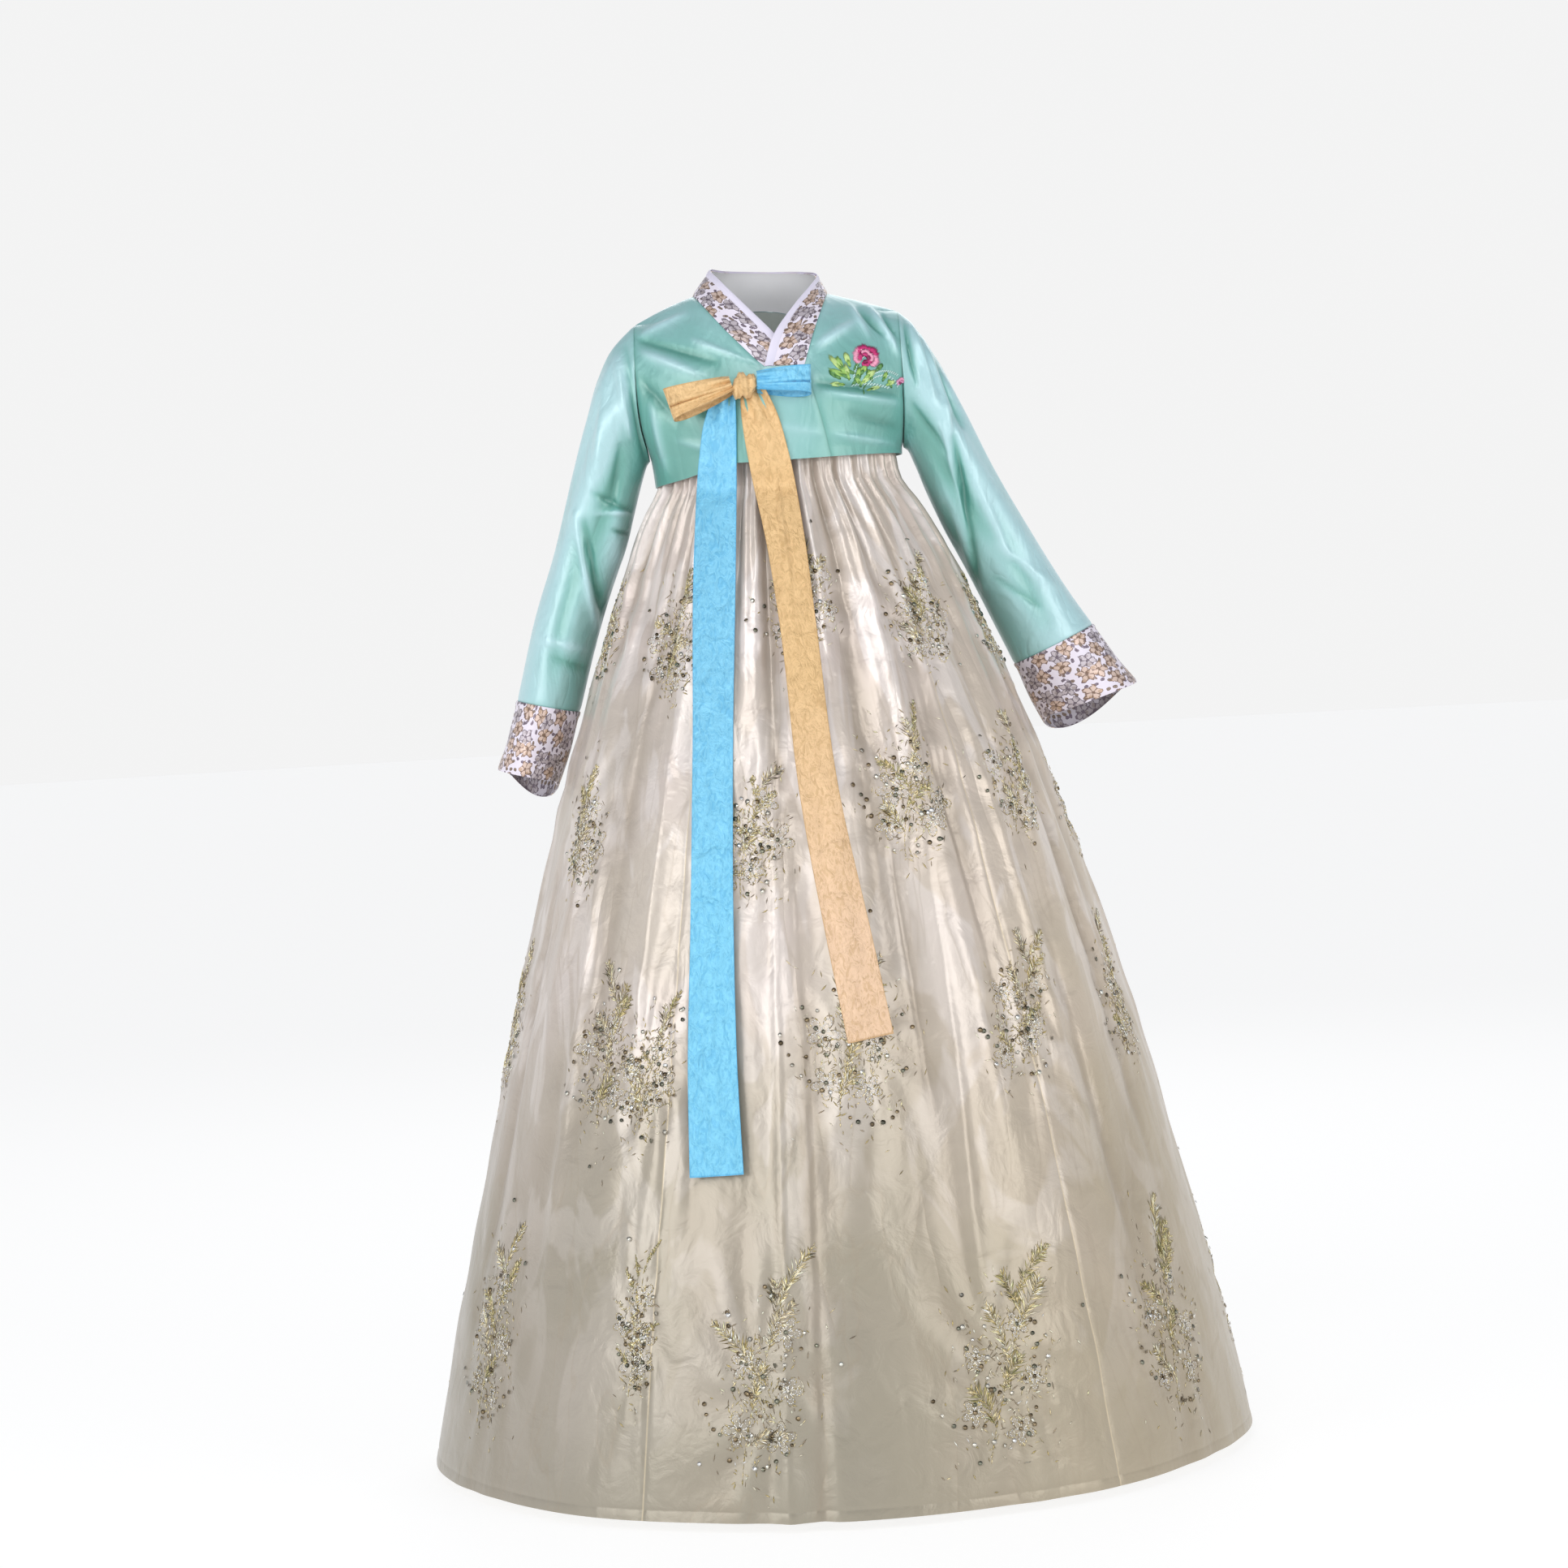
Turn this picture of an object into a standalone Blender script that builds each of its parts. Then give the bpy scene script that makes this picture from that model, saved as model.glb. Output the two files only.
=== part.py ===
"""Korean hanbok: a short wrapped jacket, tied with a two-colour ribbon bow, over a high-waisted full skirt.

The cloth keeps the hollow shape that it has when it is worn. Metres, +Z up, the front faces -Y and the
wearer's left is +X. Heights in the tables are above the skirt's hem. The origin of the finished part is
the middle of the shoulder line, where the garment hangs on its wearer.
"""
import math

import bmesh
import bpy
import numpy as np

SHOULDER_HEIGHT = 1.390   # shoulder line above the hem, the height of the part's origin
SEAM_GAP = 0.0003         # between two pieces at a seam
SKIRT_CLOTH = 0.0012      # wall of the satin skirt
JACKET_CLOTH = 0.0015     # wall of the lined satin jacket
BROCADE = 0.0018          # wall of the collar and the cuffs
RIBBON = 0.0010           # wall of the ribbons and of the white collar strip
LAYER_LIFT = 0.0060       # how far the outer front lies over the under front

FRONT, BACK = -1, 1       # sides of the jacket along Y
LEFT, RIGHT = 1, -1       # the wearer's sides along X
SLOPE_STEP = 0.001        # over which a surface's slopes are read, in its own parameters
SHARP_ANGLE = 50          # degrees, above which an edge is shaded sharp

# Colour in linear RGB, roughness
FINISHES = {
    "skirt_satin": ((0.62, 0.55, 0.45), 0.32),
    "band_cotton": ((0.80, 0.79, 0.76), 0.80),
    "jacket_satin": ((0.17, 0.47, 0.40), 0.35),
    "trim_brocade": ((0.62, 0.55, 0.55), 0.45),
    "strip_white": ((0.78, 0.74, 0.85), 0.60),
    "ribbon_blue": ((0.10, 0.55, 0.83), 0.40),
    "ribbon_gold": ((0.72, 0.46, 0.19), 0.40),
}


def smooth_table(rows, at):
    """Reads a table's columns between its rows, on a cubic whose slopes come from the rows beside."""
    table = np.asarray(rows, float)
    keys, values = table[:, 0], table[:, 1:]
    at = np.clip(np.asarray(at, float), keys[0], keys[-1])
    slopes = np.gradient(values, keys, axis=0)
    i = np.clip(np.searchsorted(keys, at, side="right") - 1, 0, len(keys) - 2)
    step = (keys[i + 1] - keys[i])[..., None]
    t = (at[..., None] - keys[i][..., None]) / step
    first = (1 + 2 * t) * (1 - t) ** 2 * values[i] + t * (1 - t) ** 2 * step * slopes[i]
    second = t * t * (3 - 2 * t) * values[i + 1] - t * t * (1 - t) * step * slopes[i + 1]
    return np.moveaxis(first + second, -1, 0)


def unit(vectors):
    return vectors / np.linalg.norm(vectors, axis=-1, keepdims=True)


def normals_of(surface, u, v, step=SLOPE_STEP):
    """Normals of a surface given as a function of two parameters, from its slopes along both."""
    along = surface(u + step, v) - surface(u - step, v)
    up = surface(u, v + step) - surface(u, v - step)
    return unit(np.cross(along, up))


def material(finish):
    found = bpy.data.materials.get(finish)
    if found is None:
        colour, roughness = FINISHES[finish]
        found = bpy.data.materials.new(finish)
        found.use_nodes = True
        shader = found.node_tree.nodes["Principled BSDF"]
        shader.inputs["Base Color"].default_value = (*colour, 1.0)
        shader.inputs["Roughness"].default_value = roughness
        shader.inputs["Metallic"].default_value = 0.0
    return found


def grid_faces(rows, columns, closed):
    """Quads of a grid of points, row by row; a closed grid joins its last column to its first."""
    for row in range(rows - 1):
        for column in range(columns if closed else columns - 1):
            after = (column + 1) % columns
            yield (row * columns + column, row * columns + after,
                   (row + 1) * columns + after, (row + 1) * columns + column)


def rim_of(rows, columns, closed):
    """Places along the edge of a grid in order: one loop for an open sheet, two for a closed tube."""
    bottom = [(0, c) for c in range(columns)]
    top = [(rows - 1, c) for c in range(columns)]
    if closed:
        return [bottom, top]
    right = [(r, columns - 1) for r in range(1, rows - 1)]
    left = [(r, 0) for r in range(1, rows - 1)]
    return [bottom + right + top[::-1] + left[::-1]]


def cloth_wall(name, outer, normals, thickness, finish, closed=False):
    """A wall of cloth: the outer grid of points, the same grid moved in by the thickness, and the rims."""
    rows, columns = outer.shape[:2]
    inner = outer - normals * thickness
    points = np.concatenate([outer.reshape(-1, 3), inner.reshape(-1, 3)])
    points[:, 2] -= SHOULDER_HEIGHT
    count = rows * columns
    faces = list(grid_faces(rows, columns, closed))
    faces += [tuple(count + face[corner] for corner in (0, 3, 2, 1)) for face in faces]
    for rim in rim_of(rows, columns, closed):
        places = [r * columns + c for r, c in rim]
        for here, after in zip(places, places[1:] + places[:1]):
            faces.append((here, after, after + count, here + count))
    mesh = bpy.data.meshes.new(name)
    mesh.from_pydata(points.tolist(), [], faces)
    shape = bmesh.new()
    shape.from_mesh(mesh)
    bmesh.ops.recalc_face_normals(shape, faces=shape.faces)
    shape.to_mesh(mesh)
    shape.free()
    mesh.materials.append(material(finish))
    mesh.shade_smooth()
    mesh.set_sharp_from_angle(angle=math.radians(SHARP_ANGLE))
    piece = bpy.data.objects.new(name, mesh)
    bpy.data.collections["Hanbok"].objects.link(piece)


# The skirt: five gathered panels of satin on a plain chest band

SKIRT_SECTIONS = (  # height, half width, half depth, shift to the wearer's left
    (0.000, 0.5030, 0.4915, 0.0150),
    (0.180, 0.4640, 0.4580, 0.0160),
    (0.350, 0.4215, 0.4180, 0.0165),
    (0.530, 0.3750, 0.3700, 0.0165),
    (0.700, 0.3270, 0.3220, 0.0145),
    (0.860, 0.2790, 0.2660, 0.0120),
    (1.000, 0.2290, 0.2030, 0.0080),
    (1.100, 0.1875, 0.1580, 0.0040),
    (1.145, 0.1640, 0.1345, 0.0010),
    (1.175, 0.1455, 0.1180, -0.0005),
    (1.205, 0.1420, 0.1150, -0.0010),
    (1.236, 0.1370, 0.1080, -0.0010),
)
GATHERS = 30
GATHER_DEPTHS = (  # height, half height of the gathers' waves, half height of the broad folds
    (0.00, 0.0000, 0.0022),
    (0.35, 0.0004, 0.0034),
    (0.60, 0.0018, 0.0030),
    (0.85, 0.0038, 0.0016),
    (1.05, 0.0052, 0.0005),
    (1.15, 0.0046, 0.0000),
    (1.20, 0.0030, 0.0000),
    (1.24, 0.0018, 0.0000),
)
MAIN_FOLDS = (  # angle at the top and at the bottom, top and bottom height, width in degrees, height
    (-62, -60, 1.05, 0.35, 7, 0.006),
    (-44, -46, 1.15, 0.40, 6, -0.005),
    (-19, -21, 1.12, 0.50, 6, 0.006),
    (-9, -7, 1.18, 0.60, 5, -0.006),
    (-2, -1, 1.00, 0.10, 5, -0.006),
    (5, 5, 1.18, 0.25, 6, 0.007),
    (15, 12, 1.18, 0.45, 5, -0.006),
    (24, 30, 1.18, 0.30, 6, 0.008),
    (34, 34, 1.10, 0.40, 4, -0.006),
    (58, 55, 1.10, 0.35, 7, 0.006),
    (75, 77, 1.05, 0.40, 6, -0.005),
    (124, 122, 1.12, 0.30, 7, 0.006),
    (147, 150, 1.15, 0.40, 6, -0.006),
    (172, 170, 1.16, 0.25, 7, 0.007),
    (199, 203, 1.12, 0.45, 6, -0.006),
    (229, 226, 1.10, 0.30, 7, 0.006),
    (247, 249, 1.15, 0.40, 5, -0.005),
)
GATHER_WANDER = (  # waves round the skirt, start in radians, how far they shift the gathers in radians
    (2, 0.7, 0.8),
    (5, 2.1, 0.5),
)
GATHER_UNEVEN = (4, 1.3, 0.25)   # waves round the skirt, start, share by which they deepen the gathers
BROAD_FOLDS = (9, 2, 0.6)        # broad folds round the skirt, waves and radians that shift them
SEAM_ANGLES = (-28, 38, 112, 186, 260)
PANEL_COLUMNS = 25
SKIRT_ROWS = (0.0, 0.17, 0.34, 0.51, 0.68, 0.83, 0.96, 1.07, 1.145, 1.175, 1.236)
BAND_TOP = 1.300
BAND_CLOTH = 0.0020
BAND_COLUMNS = 36
BAND_TAPER = 0.35         # share by which the band would narrow over a metre


def skirt_folds(angle, height):
    """How far the folds move the cloth out: uneven gathers, broad waves and the main folds."""
    gathers, broad = smooth_table(GATHER_DEPTHS, height)
    wander = sum(shift * np.sin(waves * angle + start) for waves, start, shift in GATHER_WANDER)
    waves, start, share = GATHER_UNEVEN
    uneven = 1 - share + share * np.sin(waves * angle + start)
    count, shifts, shift = BROAD_FOLDS
    out = gathers * uneven * np.cos(GATHERS * angle + wander)
    out = out + broad * np.cos(count * angle + shift * np.sin(shifts * angle))
    for top_angle, low_angle, top, low, width, rise in MAIN_FOLDS:
        share = np.clip((top - height) / (top - low), 0, 1)
        middle = np.radians(top_angle + (low_angle - top_angle) * share)
        aside = (angle - middle + math.pi) % (2 * math.pi) - math.pi
        out = out + rise * np.sin(math.pi * share) ** 0.8 * np.exp(-(aside / math.radians(width)) ** 2)
    return out


def skirt_surface(angle, height):
    """Points of the skirt: an ellipse at each height, with its half sizes grown by the folds."""
    half_width, half_depth, shift = smooth_table(SKIRT_SECTIONS, height)
    out = skirt_folds(angle, height)
    return np.stack([shift + (half_width + out) * np.sin(angle),
                     -(half_depth + out) * np.cos(angle), height], -1)


def make_skirt():
    names = ("front", "left", "back_left", "back_right", "right")
    ends = SEAM_ANGLES[1:] + (SEAM_ANGLES[0] + 360,)
    heights = np.array(SKIRT_ROWS)
    radius = smooth_table(SKIRT_SECTIONS, heights)[0]
    shrink = (SEAM_GAP / 2 / radius)[:, None]
    for name, start, end in zip(names, SEAM_ANGLES, ends):
        share = np.linspace(0, 1, PANEL_COLUMNS)[None, :]
        first, last = math.radians(start) + shrink, math.radians(end) - shrink
        angle = first + (last - first) * share
        height = np.broadcast_to(heights[:, None], angle.shape)
        cloth_wall("skirt_panel_" + name, skirt_surface(angle, height),
                   normals_of(skirt_surface, angle, height, SLOPE_STEP / 10), SKIRT_CLOTH, "skirt_satin")


def make_chest_band():
    """The plain band that the panels are gathered into, a ring just above them."""
    half_width, half_depth, shift = smooth_table(SKIRT_SECTIONS, SKIRT_ROWS[-1])
    angle = np.linspace(0, 2 * math.pi, BAND_COLUMNS, endpoint=False)[None, :]
    height = np.array([SKIRT_ROWS[-1] + SEAM_GAP, BAND_TOP])[:, None]
    taper = 1 - BAND_TAPER * (height - height[0])
    outward = np.stack([np.sin(angle) + 0 * height, -np.cos(angle) + 0 * height, 0 * angle * height], -1)
    outer = np.stack([shift + half_width * taper * np.sin(angle),
                      -half_depth * taper * np.cos(angle), height + 0 * angle], -1)
    cloth_wall("skirt_chest_band", outer, outward, BAND_CLOTH, "band_cotton", closed=True)


# The jacket's body: a front and a back dome that meet at the shoulder ridge and at the short side seams

RIDGE = (  # across the shoulders towards the wearer's left, height of the shoulder ridge
    (-0.168, 1.3780),
    (-0.130, 1.3960),
    (-0.095, 1.4090),
    (-0.050, 1.4220),
    (0.000, 1.4280),
    (0.040, 1.4150),
    (0.072, 1.4040),
    (0.110, 1.3930),
    (0.156, 1.3780),
)
ARMHOLE_LINE = (  # height, distance of the armhole seam to the wearer's right and left of the middle
    (1.170, 0.1525, 0.1520),
    (1.212, 0.1570, 0.1535),
    (1.250, 0.1645, 0.1555),
    (1.300, 0.1680, 0.1560),
    (1.378, 0.1680, 0.1560),
)
UNDERARM, SHOULDER_TIP = 1.212, 1.378
ARMHOLE_HALF_DEPTH = 0.062
DOME_START = {FRONT: 1.240, BACK: 1.220}
DOME_DEPTH = {FRONT: 0.127, BACK: 0.125}

OUTER_HEM = ((-0.17, 1.1990), (0.00, 1.1985), (0.17, 1.2040))
UNDER_HEM = ((-0.17, 1.1750), (-0.11, 1.1850), (-0.07, 1.1960), (0.00, 1.2040), (0.17, 1.2040))
BACK_HEM = ((-0.17, 1.1750), (-0.08, 1.1900), (0.00, 1.1960), (0.17, 1.2040))

# Edges across the front: height, distance to the wearer's left of the middle
COLLAR_END = 1.3115       # where the collar ends and the overlap panel begins
FREE_EDGE = ((1.190, -0.0850), (1.250, -0.0660), (1.289, -0.0450), (1.312, -0.0095))
PANEL_SEAM = ((1.190, 0.0655), (1.250, 0.0530), (COLLAR_END, 0.0370))
OUTER_NECK = ((COLLAR_END, 0.0370), (1.345, 0.0480), (1.410, 0.0730))
UNDER_NECK = ((1.170, 0.0350), (1.290, 0.0200), (1.308, -0.0055), (1.346, -0.0430), (1.415, -0.0980))
BACK_NECK_HALF = {LEFT: 0.0707, RIGHT: 0.0925}
BACK_NECK_DROP = 0.036    # how far the back neckline dips below the ridge in the middle
ARMHOLE_SHARE = 0.25      # share of a panel's rows that lie below the start of its dome
SETTLE_ROUNDS = 30        # how often a panel's points are moved until they lie on its slanted edges


def armhole_x(side, height):
    right, left = smooth_table(ARMHOLE_LINE, height)
    return left if side == LEFT else right


def ridge_height(x):
    return smooth_table(RIDGE, x)[0]


def dome_square(x, height, face, lift=0.0):
    """Square of the body's depth: an elliptic dome that keeps the armhole's oval open at its sides."""
    half = np.where(x > 0, armhole_x(LEFT, height), armhole_x(RIGHT, height))
    across = np.abs(x) / half
    rise = np.maximum(height - DOME_START[face], 0) / (ridge_height(x) - DOME_START[face])
    deep = DOME_DEPTH[face] + lift * (1 - across ** 4)
    middle, reach = (SHOULDER_TIP + UNDERARM) / 2, (SHOULDER_TIP - UNDERARM) / 2
    edge = ARMHOLE_HALF_DEPTH ** 2 * np.maximum(1 - ((height - middle) / reach) ** 2, 0)
    return deep ** 2 * (1 - rise ** 2) * (1 - across ** 2) + edge * across ** 2


def body_y(x, height, face, lift=0.0):
    """The place of the jacket's outer side along Y; half a seam gap keeps front and back apart."""
    return face * (np.sqrt(np.maximum(dome_square(x, height, face, lift), 0)) + SEAM_GAP / 2)


def body_normals(points, face, lift):
    """Normals of the dome, the slope of depth squared minus the dome's square."""
    x, y, z = points[..., 0], points[..., 1], points[..., 2]
    step = 1e-5
    along_x = dome_square(x + step, z, face, lift) - dome_square(x - step, z, face, lift)
    along_z = dome_square(x, z + step, face, lift) - dome_square(x, z - step, face, lift)
    return unit(np.stack([-along_x, 4 * y * step, -along_z], -1))


def share_of(face, x, height):
    """The place between the hem, 0, and the ridge, 1, of a height over the dome's start."""
    start = DOME_START[face]
    climb = math.asin((height - start) / (float(ridge_height(x)) - start)) / (math.pi / 2)
    return ARMHOLE_SHARE + (1 - ARMHOLE_SHARE) * climb


def body_grid(face, side, inner_x, hem, shares, columns, top=None):
    """Points between an inner edge and the armhole, and from the hem up to the ridge or to a lower top."""
    share = np.asarray(shares)[:, None] + np.zeros((1, columns))
    across = np.linspace(0, 1, columns)[None, :] + np.zeros((len(shares), 1))
    start = DOME_START[face]
    x = side * np.abs(inner_x(np.full_like(share, start)))
    for _ in range(SETTLE_ROUNDS):
        ridge = ridge_height(x)
        peak = ridge if top is None else top(x)
        last = np.arcsin(np.clip((peak - start) / (ridge - start), 0, 1))
        below = smooth_table(hem, x)[0]
        climb = np.clip((share - ARMHOLE_SHARE) / (1 - ARMHOLE_SHARE), 0, 1)
        height = np.where(share < ARMHOLE_SHARE, below + (start - below) * share / ARMHOLE_SHARE,
                          start + (ridge - start) * np.sin(climb * last))
        half = side * armhole_x(side, height)
        first = np.arcsin(np.clip(inner_x(height) / half, -1, 1))
        x = half * np.sin(first + (math.pi / 2 - first) * across)
    return x, height


def body_panel(name, face, side, inner_x, hem, shares, columns, lift=0.0, top=None):
    x, height = body_grid(face, side, inner_x, hem, shares, columns, top)
    outer = np.stack([x, body_y(x, height, face, lift), height], -1)
    cloth_wall(name, outer, body_normals(outer, face, lift), JACKET_CLOTH, "jacket_satin")


def back_neckline(x):
    """Height of the back neckline: the ridge less a round dip."""
    half = np.where(x > 0, BACK_NECK_HALF[LEFT], BACK_NECK_HALF[RIGHT])
    return ridge_height(x) - BACK_NECK_DROP * np.sqrt(np.maximum(1 - (x / half) ** 2, 0))


def outer_edge(height):
    """The outer front's seam: beside the overlap panel, and above the collar's end beside the collar."""
    panel, neck = smooth_table(PANEL_SEAM, height)[0], smooth_table(OUTER_NECK, height)[0]
    return np.where(height < COLLAR_END, panel, neck)


def make_jacket_body():
    corner = share_of(FRONT, PANEL_SEAM[-1][1], COLLAR_END)
    outer_shares = np.concatenate([np.linspace(0, corner, 6), np.linspace(corner, 1, 8)[1:]])
    body_panel("jacket_front_left", FRONT, LEFT, lambda z: outer_edge(z) + SEAM_GAP / 2, OUTER_HEM,
               outer_shares, 11, lift=LAYER_LIFT)
    even_shares = np.linspace(0, 1, 13)
    body_panel("jacket_front_right", FRONT, RIGHT, lambda z: smooth_table(UNDER_NECK, z)[0] - SEAM_GAP,
               UNDER_HEM, even_shares, 13)
    for side, name in ((LEFT, "jacket_back_left"), (RIGHT, "jacket_back_right")):
        body_panel(name, BACK, side, lambda z, side=side: side * SEAM_GAP / 2 + 0 * z, BACK_HEM,
                   even_shares, 12, top=lambda x: back_neckline(x) - SEAM_GAP)


def make_overlap_panel():
    """The panel sewn to the outer front, whose free edge crosses to the wearer's right."""
    rows, columns = 8, 7
    share = np.linspace(0, 1, rows)[:, None] + np.zeros((1, columns))
    across = np.linspace(0, 1, columns)[None, :] + np.zeros((rows, 1))
    x = np.zeros_like(share)
    for _ in range(SETTLE_ROUNDS):
        below = smooth_table(OUTER_HEM, x)[0]
        height = below + (COLLAR_END - SEAM_GAP - below) * share
        free = smooth_table(FREE_EDGE, height)[0]
        x = free + (smooth_table(PANEL_SEAM, height)[0] - SEAM_GAP / 2 - free) * across
    outer = np.stack([x, body_y(x, height, FRONT, LAYER_LIFT), height], -1)
    cloth_wall("jacket_overlap_panel", outer, body_normals(outer, FRONT, LAYER_LIFT),
               JACKET_CLOTH, "jacket_satin")


# The collar: one straight band of brocade round the neck, with a narrow white strip on its neck edge

NECK_EDGE = (  # place along the collar from its outer to its under end, X, Y and height of the neck edge
    (0.00, -0.0095, -0.1215, 1.3115),
    (0.10, 0.0050, -0.1070, 1.3520),
    (0.18, 0.0310, -0.0740, 1.3880),
    (0.24, 0.0500, -0.0380, 1.4110),
    (0.30, 0.0590, 0.0040, 1.4255),
    (0.40, 0.0420, 0.0520, 1.4350),
    (0.50, -0.0040, 0.0680, 1.4390),
    (0.60, -0.0510, 0.0540, 1.4410),
    (0.70, -0.0710, 0.0060, 1.4390),
    (0.77, -0.0600, -0.0370, 1.4230),
    (0.84, -0.0350, -0.0720, 1.3930),
    (0.92, 0.0000, -0.0985, 1.3530),
    (1.00, 0.0230, -0.1115, 1.3240),
)
RIDGE_PLACES = (0.30, 0.70)      # places along the collar where it crosses the shoulder ridge
UNDER_END = 1.3075               # height of the under end's outer corner
COLLAR_PLACES = 45
COLLAR_WIDTHS = (0.0, 0.37, 0.74, 1.0)   # rows of points across the collar's width
STRIP_WIDTHS = (0.74, 1.0, 1.04)         # and across the white strip, which stands a little over the edge


def front_climb(low, high, share):
    """Heights from the collar's end to the ridge, closer together near the ridge, as the dome rounds."""
    start = DOME_START[FRONT]
    first = np.arcsin((low - start) / (high - start))
    return start + (high - start) * np.sin(first + (math.pi / 2 - first) * share)


def collar_seam(place):
    """The collar's lower edge: down both fronts along the neck lines, and round the back neckline."""
    out, under = RIDGE_PLACES
    outer_z = front_climb(COLLAR_END, ridge_height(BACK_NECK_HALF[LEFT]), np.clip(place / out, 0, 1))
    under_z = front_climb(UNDER_END, ridge_height(-BACK_NECK_HALF[RIGHT]),
                          np.clip((1 - place) / (1 - under), 0, 1))
    turn = np.clip((place - out) / (under - out), 0, 1)
    middle = (BACK_NECK_HALF[LEFT] - BACK_NECK_HALF[RIGHT]) / 2
    half = (BACK_NECK_HALF[LEFT] + BACK_NECK_HALF[RIGHT]) / 2
    back_x = middle + half * np.cos(math.pi * turn)
    outer_x, under_x = smooth_table(OUTER_NECK, outer_z)[0], smooth_table(UNDER_NECK, under_z)[0]
    x = np.where(place < out, outer_x, np.where(place > under, under_x, back_x))
    z = np.where(place < out, outer_z, np.where(place > under, under_z, back_neckline(back_x)))
    y = np.where(place < out, body_y(outer_x, outer_z, FRONT, LAYER_LIFT),
                 np.where(place > under, body_y(under_x, under_z, FRONT), body_y(back_x, z, BACK)))
    return np.stack([x, y, z], -1)


def collar_surface(place, across):
    """Straight from the seam, across 0, to the neck edge, across 1."""
    neck = np.moveaxis(smooth_table(NECK_EDGE, place), 0, -1)
    return collar_seam(place) * (1 - across[..., None]) + neck * across[..., None]


def collar_normals(place, across):
    return -normals_of(collar_surface, place, across)


def make_collar():
    place = np.linspace(0, 1, COLLAR_PLACES)[None, :] + np.zeros((len(COLLAR_WIDTHS), 1))
    across = np.array(COLLAR_WIDTHS)[:, None] + np.zeros((1, COLLAR_PLACES))
    cloth_wall("collar", collar_surface(place, across), collar_normals(place, across),
               BROCADE, "trim_brocade")
    across = np.array(STRIP_WIDTHS)[:, None] + np.zeros((1, COLLAR_PLACES))
    place = place[:len(STRIP_WIDTHS)]
    normals = collar_normals(place, np.minimum(across, 1.0))
    outer = collar_surface(place, across) + normals * (RIBBON + SEAM_GAP)
    cloth_wall("collar_strip", outer, normals, RIBBON, "strip_white")


# The sleeves: wide tubes set on the armholes, turned down along the arms, each with a brocade cuff. A
# sleeve is one cloth, but its solid is parted at the elbow, so that collision can follow each half's hollow.

SLEEVE_SECTIONS = {  # place, outer X and height, inner X and height, middle along Y, half depth
    LEFT: (
        (0.00, 0.1563, 1.3780, 0.1563, 1.2120, 0.000, 0.062),
        (0.08, 0.1750, 1.3590, 0.1610, 1.2050, 0.002, 0.064),
        (0.18, 0.2010, 1.3180, 0.1680, 1.1880, 0.006, 0.065),
        (0.34, 0.2290, 1.2580, 0.1800, 1.1560, 0.012, 0.066),
        (0.50, 0.2620, 1.1850, 0.1985, 1.1110, 0.020, 0.065),
        (0.68, 0.3030, 1.1080, 0.2250, 1.0570, 0.030, 0.063),
        (0.85, 0.3460, 1.0320, 0.2570, 0.9870, 0.038, 0.062),
        (1.00, 0.3785, 0.9820, 0.2790, 0.9380, 0.043, 0.060),
        (1.20, 0.4310, 0.9080, 0.3080, 0.8690, 0.046, 0.059),
    ),
    RIGHT: (
        (0.00, 0.1683, 1.3780, 0.1573, 1.2120, 0.000, 0.062),
        (0.08, 0.1960, 1.3510, 0.1620, 1.2050, 0.002, 0.064),
        (0.18, 0.2160, 1.3150, 0.1690, 1.1860, 0.006, 0.065),
        (0.32, 0.2340, 1.2620, 0.1790, 1.1540, 0.012, 0.065),
        (0.50, 0.2570, 1.1900, 0.1930, 1.1080, 0.020, 0.063),
        (0.68, 0.2830, 1.1050, 0.2140, 1.0580, 0.028, 0.061),
        (0.85, 0.3130, 1.0220, 0.2400, 0.9840, 0.034, 0.059),
        (1.00, 0.3400, 0.9260, 0.2630, 0.9080, 0.040, 0.057),
        (1.20, 0.3700, 0.8420, 0.2930, 0.8230, 0.044, 0.056),
    ),
}
CUFF_START, CUFF_END = 1.0, 1.2
CUFF_ROWS = 4
CUFF_GAP = 0.0010         # the seam between sleeve and cuff, as a difference of place along the arm
SLEEVE_FOLDS = (  # angle and place where a fold is highest, its turn per place, width, length, height
    (-70, 0.30, 60, 16, 0.30, 0.007),
    (-105, 0.42, 50, 15, 0.26, -0.006),
    (-35, 0.24, 70, 14, 0.22, 0.005),
    (-135, 0.55, -60, 18, 0.16, 0.006),
    (-80, 0.78, -40, 16, 0.20, -0.005),
    (80, 0.32, -50, 18, 0.28, 0.006),
    (125, 0.50, 40, 18, 0.22, -0.005),
)
FOLDS_BEGIN, FOLDS_FADE = 0.12, 0.08   # length, as place, over which the folds rise and fade at the seams
ARMHOLE_BEND = 0.06       # length, as place, over which the sleeve leaves the armhole's line
ELBOW, ELBOW_GAP = 0.50, 0.0010   # place of the elbow, and the parting there as a difference of place
UPPER_ARM_ROWS = (0.0, 0.06, 0.13, 0.21, 0.30, 0.40, ELBOW - ELBOW_GAP / 2)
FOREARM_ROWS = (ELBOW + ELBOW_GAP / 2, 0.60, 0.71, 0.82, 0.92, 1.0)
SLEEVE_COLUMNS = 24


def sleeve_folds(angle, place):
    """How far the folds move the cloth out: long soft ridges and troughs that turn round the arm."""
    out = np.zeros(np.broadcast(angle, place).shape)
    for degrees, middle, turn, width, length, rise in SLEEVE_FOLDS:
        crest = math.radians(degrees) + math.radians(turn) * (place - middle)
        aside = (angle - crest + math.pi) % (2 * math.pi) - math.pi
        out = out + rise * np.exp(-(aside / math.radians(width)) ** 2 - ((place - middle) / length) ** 2)
    rising, fading = np.clip(place / FOLDS_BEGIN, 0, 1), np.clip((CUFF_START - place) / FOLDS_FADE, 0, 1)
    return out * rising * fading


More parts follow.
